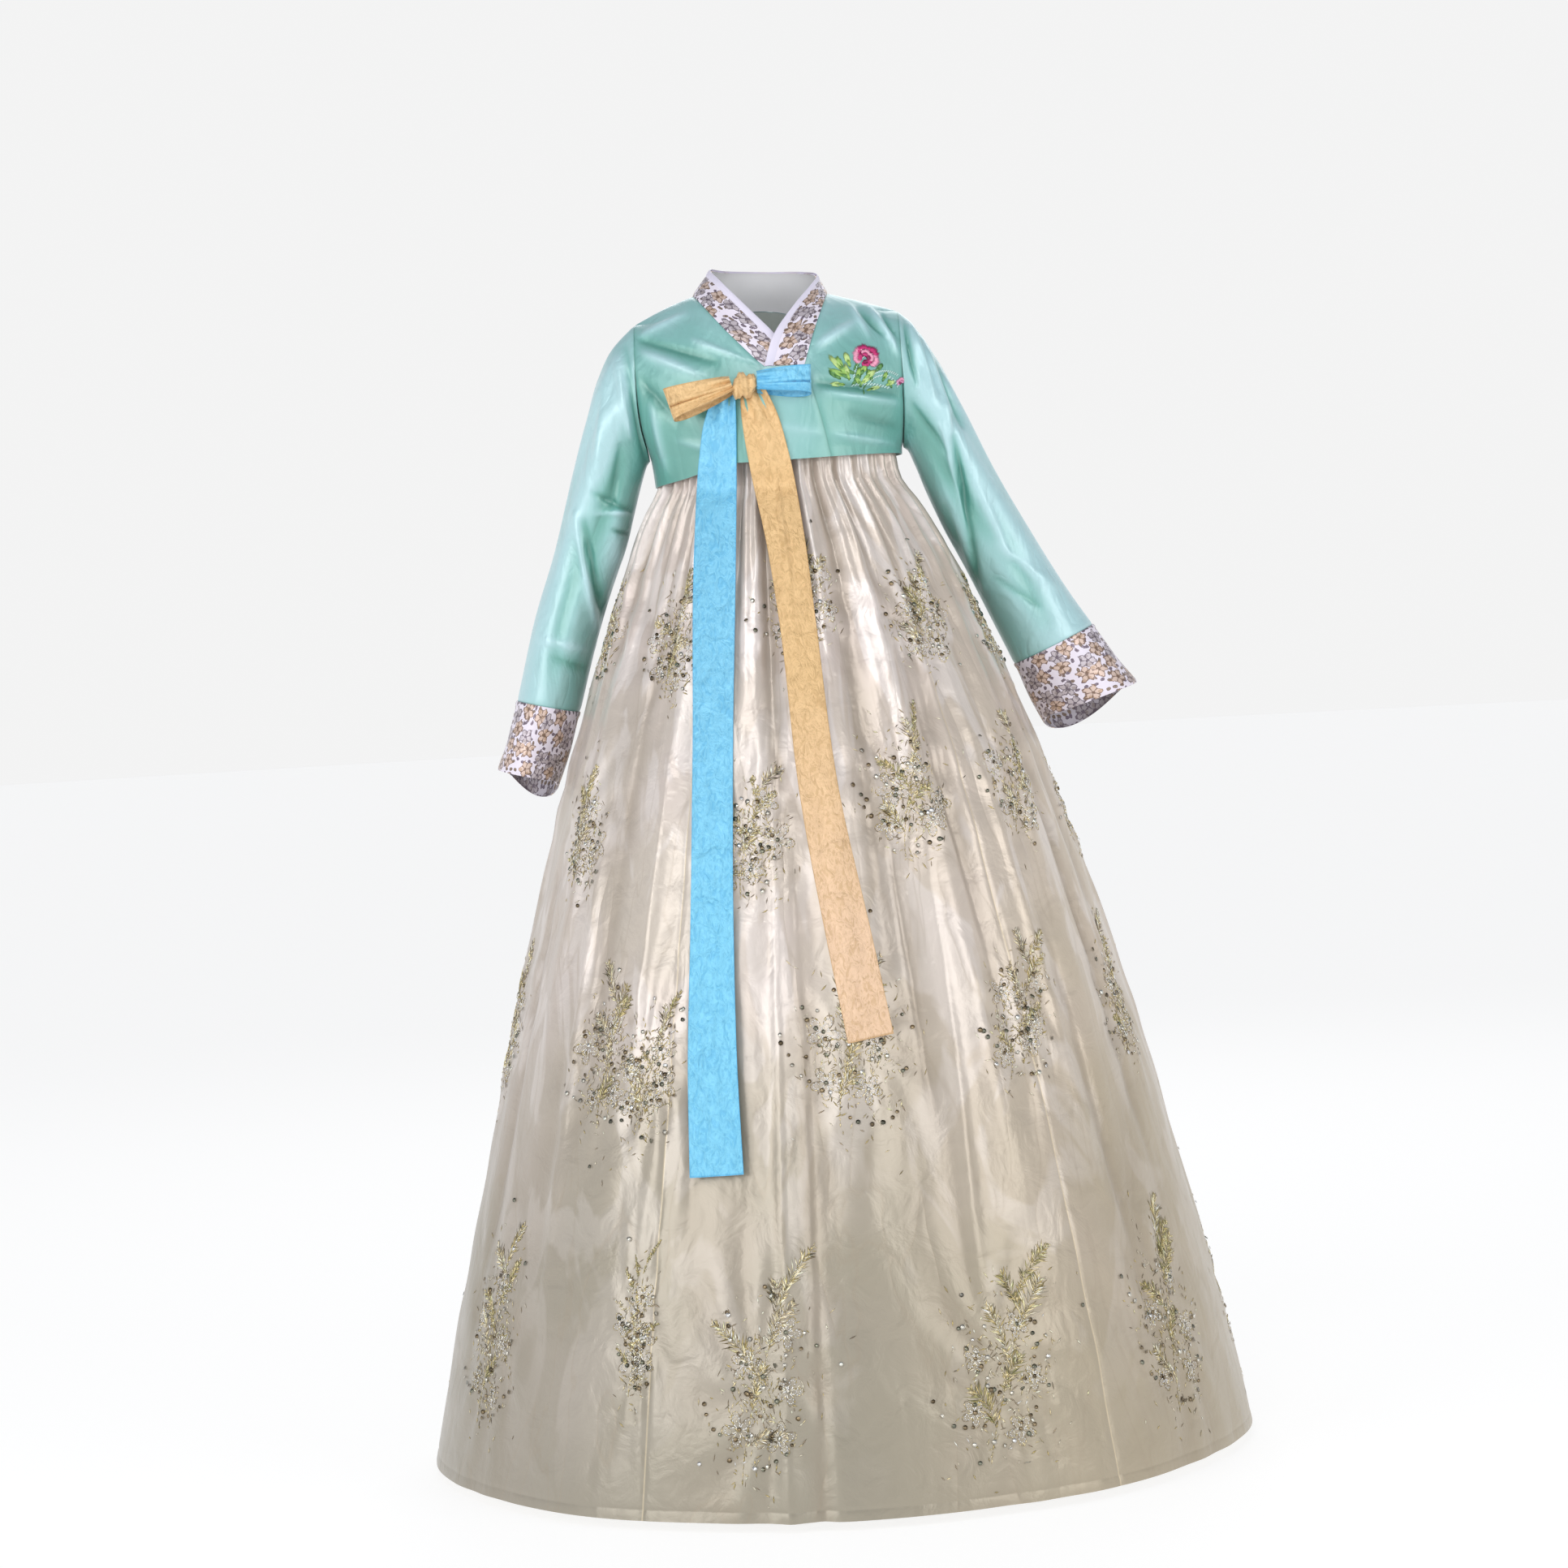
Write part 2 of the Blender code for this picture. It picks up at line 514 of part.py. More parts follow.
def sleeve_surface(side, angle, place):
    """An oval between the outer and the inner line at each place, angle 0 outside and -90 at the front.

    At the armhole the oval is bent to the armhole's own line, and the bend fades along the arm.
    """
    outer_x, outer_z, inner_x, inner_z, middle_y, half_depth = smooth_table(SLEEVE_SECTIONS[side], place)
    reach = np.stack([(outer_x - inner_x) / 2, 0 * outer_x, (outer_z - inner_z) / 2], -1)
    middle = np.stack([(outer_x + inner_x) / 2, middle_y, (outer_z + inner_z) / 2], -1)
    size = np.linalg.norm(reach, axis=-1)
    out = sleeve_folds(angle, place)
    grown = reach * (1 + out / size)[..., None]
    points = middle + grown * np.cos(angle)[..., None]
    points[..., 1] += (half_depth + out) * np.sin(angle)
    bend = armhole_x(side, points[..., 2]) + SEAM_GAP
    first = smooth_table(SLEEVE_SECTIONS[side], 0 * place)
    straight = (first[0] + first[2]) / 2 + (first[0] - first[2]) / 2 * np.cos(angle)
    points[..., 0] += (bend - straight) * np.clip(1 - place / ARMHOLE_BEND, 0, 1)
    points[..., 0] *= side
    return points


def tube(name, side, places, thickness, finish):
    angle = np.linspace(-math.pi, math.pi, SLEEVE_COLUMNS, endpoint=False)[None, :]
    angle = angle + np.zeros((len(places), 1))
    place = np.array(places)[:, None] + np.zeros((1, SLEEVE_COLUMNS))

    def surface(u, v):
        return sleeve_surface(side, u, v)

    normals = -side * normals_of(surface, angle, place)
    if places[0] == 0:
        normals[0, :, 0] = 0
        normals = unit(normals)
    cloth_wall(name, surface(angle, place), normals, thickness, finish, closed=True)


def make_sleeves():
    cuff_places = np.linspace(CUFF_START + CUFF_GAP, CUFF_END, CUFF_ROWS)
    for side, name in ((LEFT, "left"), (RIGHT, "right")):
        tube("sleeve_" + name + "_upper_arm", side, UPPER_ARM_ROWS, JACKET_CLOTH, "jacket_satin")
        tube("sleeve_" + name + "_forearm", side, FOREARM_ROWS, JACKET_CLOTH, "jacket_satin")
        tube("cuff_" + name, side, cuff_places, BROCADE, "trim_brocade")


# The bow: two ribbons tied with a knot on the breast, a short loop on each side and two long tails

TAILS = {  # height, X of the middle, width
    "blue": (
        (0.381, -0.1160, 0.0620),
        (0.500, -0.1145, 0.0570),
        (0.660, -0.1070, 0.0500),
        (0.860, -0.0960, 0.0475),
        (1.100, -0.0815, 0.0500),
        (1.204, -0.0730, 0.0450),
        (1.244, -0.0680, 0.0390),
        (1.292, -0.0565, 0.0190),
    ),
    "gold": (
        (0.526, 0.0680, 0.0530),
        (0.640, 0.0500, 0.0520),
        (0.800, 0.0260, 0.0460),
        (1.011, 0.0110, 0.0430),
        (1.100, 0.0030, 0.0460),
        (1.204, -0.0120, 0.0490),
        (1.250, -0.0200, 0.0430),
        (1.290, -0.0280, 0.0270),
    ),
}
TAIL_ROWS, TAIL_COLUMNS = 22, 4
TAIL_CROWDING = 1.5       # over 1, the tail's rows lie closer together towards the knot
TAIL_SLOPE_STEP = 0.01    # over which a tail's lean is read, in metres of height
FRONT_ENDS = 0.03         # how far below the jacket's hem a tail leaves the jacket's line
RIBBON_CLEAR = 0.0010     # between the outer front and the inner side of the tails
SKIRT_CLEAR = 0.0077      # how far the tails ride over the skirt's sections, on the crests of its folds
KNOT_CENTRE = (-0.0360, 1.2890)
KNOT_CLEAR = 0.0012       # between the tails and the middle of the knot's back
KNOT_HALF = (0.0160, 0.0085, 0.0150)
KNOT_SQUARE = 0.7         # under 1 the knot is squarer than a ball
LOOPS = {  # start X and height at the knot, end X and height, width at the knot and at the end
    "blue": (-0.0196, 1.2925, 0.0425, 1.2900, 0.0150, 0.0360),
    "gold": (-0.0527, 1.2905, -0.1265, 1.2690, 0.0150, 0.0440),
}
LOOP_HALF_DEPTH = 0.0050
LOOP_DROOP = 0.004        # how much lower a loop's front layer lies than its back one
LOOP_ROWS, LOOP_COLUMNS = 4, 13
KNOT_SIDES, KNOT_RINGS = 14, 9


def hanging_y(x, height):
    """Where a ribbon hangs: over the outer front, and below it over the crests of the skirt's folds."""
    half_width, half_depth, shift = smooth_table(SKIRT_SECTIONS, height)
    across = np.clip((x - shift) / (half_width + SKIRT_CLEAR), -0.99, 0.99)
    skirt = (half_depth + SKIRT_CLEAR) * np.sqrt(1 - across ** 2)
    hem = OUTER_HEM[1][1]
    front = -body_y(x, np.maximum(height, hem), FRONT, LAYER_LIFT) + RIBBON + RIBBON_CLEAR
    front = np.where(height < hem - FRONT_ENDS, 0, front)
    return -np.maximum(skirt, front)


def tail_surface(colour, across, height):
    """A strip square to its own middle line, laid on what hangs behind it."""
    middle, width = smooth_table(TAILS[colour], height)
    ahead = smooth_table(TAILS[colour], height + TAIL_SLOPE_STEP)[0]
    behind = smooth_table(TAILS[colour], height - TAIL_SLOPE_STEP)[0]
    slope = -(ahead - behind) / (2 * TAIL_SLOPE_STEP)
    side = (across - 0.5) * width / np.sqrt(1 + slope ** 2)
    x, z = middle + side, height + side * slope
    return np.stack([x, hanging_y(x, z), z], -1)


def make_tails():
    for colour, table in TAILS.items():
        low, high = table[0][0], table[-1][0]
        share = 1 - (1 - np.linspace(0, 1, TAIL_ROWS)) ** TAIL_CROWDING
        height = (low + (high - low) * share)[:, None] + np.zeros((1, TAIL_COLUMNS))
        across = np.linspace(0, 1, TAIL_COLUMNS)[None, :] + np.zeros((TAIL_ROWS, 1))

        def surface(u, v, colour=colour):
            return tail_surface(colour, u, v)

        cloth_wall("ribbon_tail_" + colour, surface(across, height), normals_of(surface, across, height),
                   RIBBON, "ribbon_" + colour)


def knot_middle():
    x, height = KNOT_CENTRE
    seat = body_y(np.array(x), np.array(height), FRONT, LAYER_LIFT) - RIBBON - RIBBON_CLEAR - KNOT_CLEAR
    return np.array([x, float(seat) - KNOT_HALF[1], height])


def loop_surface(colour, across, turn):
    """A flat loop seen from above as half an ellipse: out from the knot, round its end and back."""
    start_x, start_z, end_x, end_z, narrow, wide = LOOPS[colour]
    reach = np.sin(math.pi * turn)
    width = narrow + (wide - narrow) * reach
    droop = LOOP_DROOP * (1 - np.cos(math.pi * turn)) / 2
    side = (across - 0.5) * width
    run_x, run_z = end_x - start_x, end_z - start_z
    length = math.hypot(run_x, run_z)
    square_x, square_z = -run_z / length * math.copysign(1, run_x), abs(run_x) / length
    x = start_x + run_x * reach + square_x * side
    z = start_z + run_z * reach + square_z * side - droop
    y = knot_middle()[1] - LOOP_HALF_DEPTH * np.cos(math.pi * turn)
    return np.stack([x, y, z], -1)


def make_bow():
    make_tails()
    for colour, row in LOOPS.items():
        turn = np.linspace(0, 1, LOOP_COLUMNS)[None, :] + np.zeros((LOOP_ROWS, 1))
        across = np.linspace(0, 1, LOOP_ROWS)[:, None] + np.zeros((1, LOOP_COLUMNS))

        def surface(u, v, colour=colour):
            return loop_surface(colour, v, u)

        direction = math.copysign(1, row[2] - row[0])
        cloth_wall("ribbon_loop_" + colour, surface(turn, across),
                   direction * normals_of(surface, turn, across), RIBBON, "ribbon_" + colour)
    shape = bmesh.new()
    bmesh.ops.create_uvsphere(shape, u_segments=KNOT_SIDES, v_segments=KNOT_RINGS, radius=1.0)
    half = np.array(KNOT_HALF)
    middle = knot_middle()
    for vertex in shape.verts:
        place = np.array(vertex.co)
        round_off = np.sign(place) * np.abs(place) ** KNOT_SQUARE
        vertex.co = middle + round_off * half - np.array([0, 0, SHOULDER_HEIGHT])
    mesh = bpy.data.meshes.new("ribbon_knot")
    shape.to_mesh(mesh)
    shape.free()
    mesh.materials.append(material("ribbon_gold"))
    mesh.shade_smooth()
    bpy.data.collections["Hanbok"].objects.link(bpy.data.objects.new("ribbon_knot", mesh))


for old in list(bpy.data.objects):
    bpy.data.objects.remove(old, do_unlink=True)
bpy.context.scene.collection.children.link(bpy.data.collections.new("Hanbok"))
make_skirt()
make_chest_band()
make_jacket_body()
make_overlap_panel()
make_collar()
make_sleeves()
make_bow()
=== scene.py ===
"""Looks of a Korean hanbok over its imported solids: a gathered satin skirt with embroidered flower sprays, a
short satin jacket with brocade collar and cuffs, and a bow of two ribbons. Metres, +Z up, the front faces -Y
and the wearer's left is +X. Heights in the tables are above the skirt's hem."""
import math

import bpy
import numpy as np
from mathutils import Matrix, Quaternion


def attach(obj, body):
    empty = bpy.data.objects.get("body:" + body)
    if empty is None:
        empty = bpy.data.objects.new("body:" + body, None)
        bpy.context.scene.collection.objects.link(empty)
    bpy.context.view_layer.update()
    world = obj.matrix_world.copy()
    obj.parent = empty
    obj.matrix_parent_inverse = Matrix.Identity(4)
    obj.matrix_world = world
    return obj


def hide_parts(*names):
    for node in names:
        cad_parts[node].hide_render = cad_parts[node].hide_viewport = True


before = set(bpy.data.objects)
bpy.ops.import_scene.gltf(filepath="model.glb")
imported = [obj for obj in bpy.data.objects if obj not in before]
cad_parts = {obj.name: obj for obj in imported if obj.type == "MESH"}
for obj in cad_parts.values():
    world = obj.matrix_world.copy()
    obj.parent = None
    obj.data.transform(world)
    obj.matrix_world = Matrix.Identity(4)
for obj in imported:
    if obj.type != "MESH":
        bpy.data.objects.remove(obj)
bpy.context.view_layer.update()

# Skirt panels. Five widths of champagne satin, sewn side to side and gathered at the top, where each is
# pleated into the chest band. The gathers run out into broad folds, and the hem is turned up and stitched.

SHOULDER_HEIGHT = 1.390
SKIRT_CLOTH = 0.0009
SKIRT_SECTIONS = (  # height, half width, half depth, shift to the wearer's left
    (0.000, 0.5030, 0.4915, 0.0150),
    (0.180, 0.4640, 0.4580, 0.0160),
    (0.350, 0.4215, 0.4180, 0.0165),
    (0.530, 0.3750, 0.3700, 0.0165),
    (0.700, 0.3270, 0.3220, 0.0145),
    (0.860, 0.2790, 0.2660, 0.0120),
    (1.000, 0.2290, 0.2030, 0.0080),
    (1.100, 0.1875, 0.1580, 0.0040),
    (1.145, 0.1640, 0.1345, 0.0010),
    (1.175, 0.1455, 0.1180, -0.0005),
    (1.205, 0.1420, 0.1150, -0.0010),
    (1.236, 0.1370, 0.1080, -0.0010),
)
GATHERS = 30
GATHER_DEPTHS = (  # height, half heights of the gathers, of the small pleats on them, of the broad folds
    (0.00, 0.0000, 0.0000, 0.0022),
    (0.35, 0.0002, 0.0000, 0.0034),
    (0.60, 0.0007, 0.0000, 0.0030),
    (0.85, 0.0020, 0.0003, 0.0018),
    (1.05, 0.0052, 0.0014, 0.0006),
    (1.15, 0.0066, 0.0030, 0.0000),
    (1.20, 0.0036, 0.0028, 0.0000),
    (1.24, 0.0014, 0.0012, 0.0000),
)
GATHER_WANDER = ((2, 0.7, 0.8), (5, 2.1, 0.5))   # waves round the skirt, start, shift of the gathers
SKIRT_FOLDS = (  # angle at the top and at the bottom, top and bottom height, width in degrees, height
    (-62, -60, 1.05, 0.35, 7, 0.006),
    (-44, -46, 1.15, 0.40, 6, -0.005),
    (-19, -21, 1.12, 0.50, 6, 0.006),
    (-9, -7, 1.18, 0.60, 5, -0.006),
    (-2, -1, 1.00, 0.10, 5, -0.006),
    (5, 5, 1.18, 0.25, 6, 0.007),
    (15, 12, 1.18, 0.45, 5, -0.006),
    (24, 30, 1.18, 0.30, 6, 0.008),
    (34, 34, 1.10, 0.40, 4, -0.006),
    (58, 55, 1.10, 0.35, 7, 0.006),
    (75, 77, 1.05, 0.40, 6, -0.005),
    (124, 122, 1.12, 0.30, 7, 0.006),
    (147, 150, 1.15, 0.40, 6, -0.006),
    (172, 170, 1.16, 0.25, 7, 0.007),
    (199, 203, 1.12, 0.45, 6, -0.006),
    (229, 226, 1.10, 0.30, 7, 0.006),
    (247, 249, 1.15, 0.40, 5, -0.005),
    (-8.5, -7.2, 1.02, -0.30, 2.2, 0.0050),
    (-4.0, -3.2, 0.85, -0.40, 2.4, -0.0055),
    (17, 17.5, 0.80, 0.40, 1.6, -0.0040),
    (24, 20, 0.76, 0.10, 2.4, 0.0050),
    (30, 34, 0.98, 0.55, 1.8, -0.0045),
    (44, 47, 0.95, 0.30, 2.2, 0.0045),
    (50, 52, 0.70, 0.05, 2.0, -0.0040),
    (66, 64, 0.90, 0.30, 2.4, -0.0045),
    (-33, -36, 0.95, 0.45, 1.9, 0.0045),
    (-24, -23, 0.80, 0.30, 2.0, -0.0040),
    (-53, -50, 0.85, 0.20, 2.4, 0.0045),
    (-71, -70, 0.80, 0.10, 2.2, -0.0045),
    (-84, -86, 0.98, 0.35, 2.2, 0.0045),
    (88, 90, 0.90, 0.25, 2.4, 0.0050),
    (101, 99, 0.98, 0.40, 2.0, -0.0045),
    (134, 137, 0.85, 0.20, 2.2, -0.0045),
    (160, 158, 0.95, 0.35, 2.4, 0.0050),
    (181, 182, 0.80, 0.15, 2.0, -0.0040),
    (212, 214, 0.98, 0.40, 2.4, 0.0050),
    (238, 236, 0.85, 0.20, 2.0, -0.0045),
)
SPRAYS = (  # angle and height of the middle, height and width of the spray, lean to the wearer's left
    (-38.5, 0.990, 0.17, 0.12, -0.15),
    (2.6, 1.030, 0.15, 0.12, 0.10),
    (41.6, 1.010, 0.15, 0.12, 0.20),
    (-61, 0.770, 0.17, 0.11, -0.20),
    (-13, 0.760, 0.18, 0.11, 0.05),
    (23, 0.805, 0.20, 0.14, 0.05),
    (56, 0.810, 0.17, 0.13, 0.25),
    (-42, 0.513, 0.21, 0.15, -0.15),
    (-31.5, 0.500, 0.19, 0.09, 0.10),
    (4.7, 0.517, 0.22, 0.18, 0.05),
    (38, 0.545, 0.20, 0.13, 0.35),
    (72, 0.540, 0.19, 0.12, 0.25),
    (-63, 0.185, 0.27, 0.15, -0.10),
    (-30.5, 0.215, 0.20, 0.05, 0.00),
    (-11, 0.157, 0.29, 0.16, 0.10),
    (23, 0.155, 0.27, 0.19, 0.15),
    (56, 0.170, 0.28, 0.18, 0.05),
    (84, 1.000, 0.15, 0.12, 0.15),
    (128, 1.020, 0.15, 0.12, -0.10),
    (171, 0.990, 0.16, 0.12, 0.10),
    (214, 1.020, 0.15, 0.12, 0.20),
    (281, 1.010, 0.15, 0.12, -0.15),
    (246, 0.990, 0.16, 0.12, 0.10),
    (93, 0.780, 0.18, 0.13, 0.20),
    (131, 0.800, 0.17, 0.12, -0.15),
    (167, 0.770, 0.18, 0.13, 0.10),
    (205, 0.790, 0.17, 0.12, -0.20),
    (234, 0.810, 0.18, 0.13, 0.15),
    (264, 0.790, 0.17, 0.12, 0.05),
    (104, 0.530, 0.20, 0.15, -0.20),
    (143, 0.540, 0.21, 0.15, 0.15),
    (180, 0.510, 0.20, 0.15, 0.05),
    (216, 0.530, 0.20, 0.15, -0.10),
    (248, 0.520, 0.21, 0.14, 0.20),
    (276, 0.530, 0.20, 0.14, -0.15),
    (90, 0.180, 0.27, 0.17, 0.10),
    (124, 0.165, 0.28, 0.17, -0.10),
    (158, 0.180, 0.27, 0.17, 0.10),
    (194, 0.160, 0.28, 0.17, 0.05),
    (228, 0.175, 0.27, 0.17, -0.15),
    (262, 0.170, 0.28, 0.17, 0.10),
)
PUCKER = 0.0022           # how far the cloth is drawn in and out round a spray's stitches
SEAM_ANGLES = (-28, 38, 112, 186, 260)
PANEL_NAMES = ("front", "left", "back_left", "back_right", "right")
TURN_UP = 0.012           # height of the stitched hem
TURN_UP_DIP = (0.0007, 0.0015)   # how far the hem's stitches draw the cloth in, and how far that reaches
PANEL_SEAM_DIP = (0.0011, 0.003)   # the same beside the panels' seams
HEM_ROWS = np.array([0.0, 0.003, 0.008, TURN_UP - 0.001, TURN_UP, TURN_UP + 0.001, 0.018])   # heights
SEAM_COLUMNS = np.array([0.0, 0.0025, 0.006, 0.011])   # shares of a panel's width, from its seam
PANEL_TOP = 1.238
FINE_GRID, GRID = (112, 104), (96, 88)   # rows and columns of the front panel and of the others
SKIRT_UV = 0.4            # metres of UV for each radian round the skirt


def read_table(rows, at):
    """Columns of a table between its rows: a cubic through the rows, with the slope at each row taken from
    the rows beside it."""
    table = np.asarray(rows, float)
    keys, values = table[:, 0], table[:, 1:]
    at = np.clip(np.asarray(at, float), keys[0], keys[-1])
    slopes = np.gradient(values, keys, axis=0)
    i = np.clip(np.searchsorted(keys, at, side="right") - 1, 0, len(keys) - 2)
    step = (keys[i + 1] - keys[i])[..., None]
    t = (at[..., None] - keys[i][..., None]) / step
    first = (1 + 2 * t) * (1 - t) ** 2 * values[i] + t * (1 - t) ** 2 * step * slopes[i]
    second = t * t * (3 - 2 * t) * values[i + 1] - t * t * (1 - t) * step * slopes[i + 1]
    return np.moveaxis(first + second, -1, 0)


def around(angle, middle):
    """Angle from a middle, in radians, brought between minus and plus half a turn."""
    return (angle - middle + math.pi) % (2 * math.pi) - math.pi


def skirt_ease(angle, height):
    """How far folds and puckers move the cloth out. Gathers are a cosine of 30 turns, pleats one of 67 and
    broad folds one of 9. Each long fold is a narrow crest across, one over one more than the square of the
    distance, times a half sine along. A pucker is a cosine of 9 turns about its spray's middle, fading with
    the distance as a bell."""
    gathers, pleats, broad = read_table(GATHER_DEPTHS, height)
    wander = sum(shift * np.sin(waves * angle + start) for waves, start, shift in GATHER_WANDER)
    phase = GATHERS * angle + wander
    uneven = 0.70 + 0.22 * np.sin(4 * angle + 1.3) + 0.20 * np.sin(11 * angle + 2.0 * height)
    crest = 1 - 2 * (0.5 - 0.5 * np.cos(phase + 0.35 * np.sin(phase))) ** 2
    out = gathers * uneven * (crest - 0.25)
    out = out + pleats * np.cos(67 * angle + 2.0 * np.sin(3 * angle + 0.4))
    out = out + broad * np.cos(9 * angle + 0.6 * np.sin(2 * angle))
    for top_angle, low_angle, top, low, width, rise in SKIRT_FOLDS:
        share = np.clip((top - height) / (top - low), 0, 1)
        middle = np.radians(top_angle + (low_angle - top_angle) * share)
        aside = around(angle, middle) / math.radians(width)
        out = out + 1.35 * rise * np.sin(math.pi * share) ** 0.8 / (1 + 1.6 * aside ** 2) ** 2
    radius = read_table(SKIRT_SECTIONS, height)[0]
    for number, (middle, up, tall, wide, lean) in enumerate(SPRAYS):
        right = around(angle, math.radians(middle)) * radius / (wide * 0.6)
        above = (height - up) / (tall * 0.6)
        distance = right ** 2 + above ** 2
        spokes = np.cos(9 * np.arctan2(above, right) + 4 * np.sqrt(distance) + number)
        out = out + PUCKER * spokes * np.exp(-0.8 * distance) * np.clip(distance * 4, 0, 1)
    return out


def skirt_surface(angle, height):
    """An ellipse at each height, its half sizes grown by the folds; angle 0 is the middle of the front."""
    half_width, half_depth, shift = read_table(SKIRT_SECTIONS, height)
    out = skirt_ease(angle, height)
    return np.stack([shift + (half_width + out) * np.sin(angle),
                     -(half_depth + out) * np.cos(angle), height - SHOULDER_HEIGHT], -1)


def unit(vectors):
    """Vectors divided by their own length."""
    return vectors / np.maximum(np.linalg.norm(vectors, axis=-1, keepdims=True), 1e-12)


def facing(points, closed=False):
    """Normals of a grid of points: the step along its rows crossed with the step from row to row."""
    along = np.roll(points, -1, 1) - np.roll(points, 1, 1) if closed else np.gradient(points, axis=1)
    return unit(np.cross(along, np.gradient(points, axis=0)))


def grid_of(rows, columns, closed, uv_columns):
    """Corner numbers of a grid's quads, for its points and for its UV places, one row of four a quad."""
    row, column = np.meshgrid(np.arange(rows - 1), np.arange(columns if closed else columns - 1), indexing="ij")
    after = (column + 1) % columns
    quads = np.stack([row * columns + column, row * columns + after,
                      (row + 1) * columns + after, (row + 1) * columns + column], -1)
    places = np.stack([row * uv_columns + column, row * uv_columns + column + 1,
                       (row + 1) * uv_columns + column + 1, (row + 1) * uv_columns + column], -1)
    return quads.reshape(-1, 4), places.reshape(-1, 4)


def mesh_from(name, points, faces, uv=None, uv_faces=None):
    """A mesh from whole arrays of points and of faces that all have the same number of corners."""
    mesh = bpy.data.meshes.new(name)
    mesh.vertices.add(len(points))
    mesh.vertices.foreach_set("co", np.ascontiguousarray(points, np.float32).ravel())
    mesh.loops.add(faces.size)
    mesh.loops.foreach_set("vertex_index", faces.astype(np.int32).ravel())
    mesh.polygons.add(len(faces))
    mesh.polygons.foreach_set("loop_start", np.arange(0, faces.size, faces.shape[1], dtype=np.int32))
    mesh.update(calc_edges=True)
    if uv is not None:
        layer = mesh.uv_layers.new(name="UVMap")
        layer.data.foreach_set("uv", uv[uv_faces.ravel()].astype(np.float32).ravel())
    mesh.shade_smooth()
    piece = bpy.data.objects.new(name, mesh)
    bpy.context.scene.collection.objects.link(piece)
    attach(piece, "root")
    return piece


def cloth(name, outer, normals, thickness, uv, outside, inside, closed=False, seam=None, rise=None):
    """A thin shell: the outer grid, the same grid moved in along the normals, and quads round the rims.
    uv is one place a grid point, with one column more where the grid is closed. seam is each point's distance
    to its seam, and rise how far its folds stand out, to which the jacket's pieces add painted light; the
    satins turn it into painted shade and highlight."""
    rows, columns = outer.shape[:2]
    quads, places = grid_of(rows, columns, closed, uv.shape[1])
    count = rows * columns
    points = np.concatenate([outer.reshape(-1, 3), (outer - normals * thickness).reshape(-1, 3)])
    inward = (0, 3, 2, 1)
    column = np.arange(columns if closed else columns - 1)
    after = (column + 1) % columns
    top = (rows - 1) * columns
    rims = [np.stack([after, column, column + count, after + count], -1),
            np.stack([top + column, top + after, top + after + count, top + column + count], -1)]
    if not closed:
        row = np.arange(rows - 1) * columns
        last = row + columns - 1
        rims.append(np.stack([row, row + columns, row + columns + count, row + count], -1))
        rims.append(np.stack([last + columns, last, last + count, last + columns + count], -1))
    rim = np.concatenate(rims)
    faces = np.concatenate([quads, quads[:, inward] + count, rim])
    rim_places = np.minimum(rim % count, uv.shape[0] * uv.shape[1] - 1)
    uv_faces = np.concatenate([places, places[:, inward], rim_places])
    way = np.cross(outer[:-1, 1:] - outer[:-1, :-1], outer[1:, :-1] - outer[:-1, :-1])
    if np.sum(way * normals[:-1, :-1]) < 0:
        faces, uv_faces = faces[:, ::-1], uv_faces[:, ::-1]
    piece = mesh_from(name, points, faces, uv.reshape(-1, 2), uv_faces)
    mesh = piece.data
    mesh.materials.append(outside)
    mesh.materials.append(inside)
    turned = np.zeros(len(faces), np.int32)
    turned[len(quads):2 * len(quads)] = 1
    mesh.polygons.foreach_set("material_index", turned)
    for label, values in (("seam", seam), ("rise", rise)):
        if values is not None:
            layer = mesh.attributes.new(label, "FLOAT", "POINT")
            layer.data.foreach_set("value", np.tile(values.ravel(), 2).astype(np.float32))
    mesh.set_sharp_from_angle(angle=math.radians(60))
    return piece


def area_of(points, closed=False):
    """Area of a grid of points: each quad's half sum of its two diagonals crossed."""
    if closed:
        points = np.concatenate([points, points[:, :1]], 1)
    first, second = points[1:, 1:] - points[:-1, :-1], points[1:, :-1] - points[:-1, 1:]
    return float(np.linalg.norm(np.cross(first, second), axis=-1).sum() / 2)


def cut_of(points, closed=False):
    """Width and length of the cloth that shows: the longest run along a row of the grid, all round where it
    is closed, and the longest one down a column."""
    ring = np.concatenate([points, points[:, :1]], 1) if closed else points
    across = np.linalg.norm(np.diff(ring, axis=1), axis=-1).sum(1).max()
    down = np.linalg.norm(np.diff(points, axis=0), axis=-1).sum(0).max()
    return float(across), float(down)


def new_finish(name, roughness, values):
    """A material whose shader has these values on its own sockets, and its parts for more nodes."""
    made = bpy.data.materials.new(name)
    made.use_nodes = True
    shader = made.node_tree.nodes["Principled BSDF"]
    shader.inputs["Roughness"].default_value = roughness
    for socket, value in values.items():
        shader.inputs[socket].default_value = value
    return made


def node(made, kind, reads, out=0, **choices):
    """Adds a node to a material, feeds its sockets with values or with other nodes, and gives its output."""
    new = made.node_tree.nodes.new(kind)
    for choice, value in choices.items():
        setattr(new, choice, value)
    for socket, value in reads.items():
        if isinstance(value, bpy.types.NodeSocket):
            made.node_tree.links.new(value, new.inputs[socket])
        else:
            new.inputs[socket].default_value = value
    return new.outputs[out]


def math_of(made, operation, first, second=0.0):
    return node(made, "ShaderNodeMath", {0: first, 1: second}, operation=operation)


def times(made, first, second):
    return math_of(made, "MULTIPLY", first, second)


def place_of(made, system="Object"):
    """A point's place: in metres on the object, or on the piece's own UV map."""
    return node(made, "ShaderNodeTexCoord", {}, out=system)


def measure_of(made, label):
    """The number that the piece keeps at each of its points under this label."""
    return node(made, "ShaderNodeAttribute", {}, out=2, attribute_name=label)


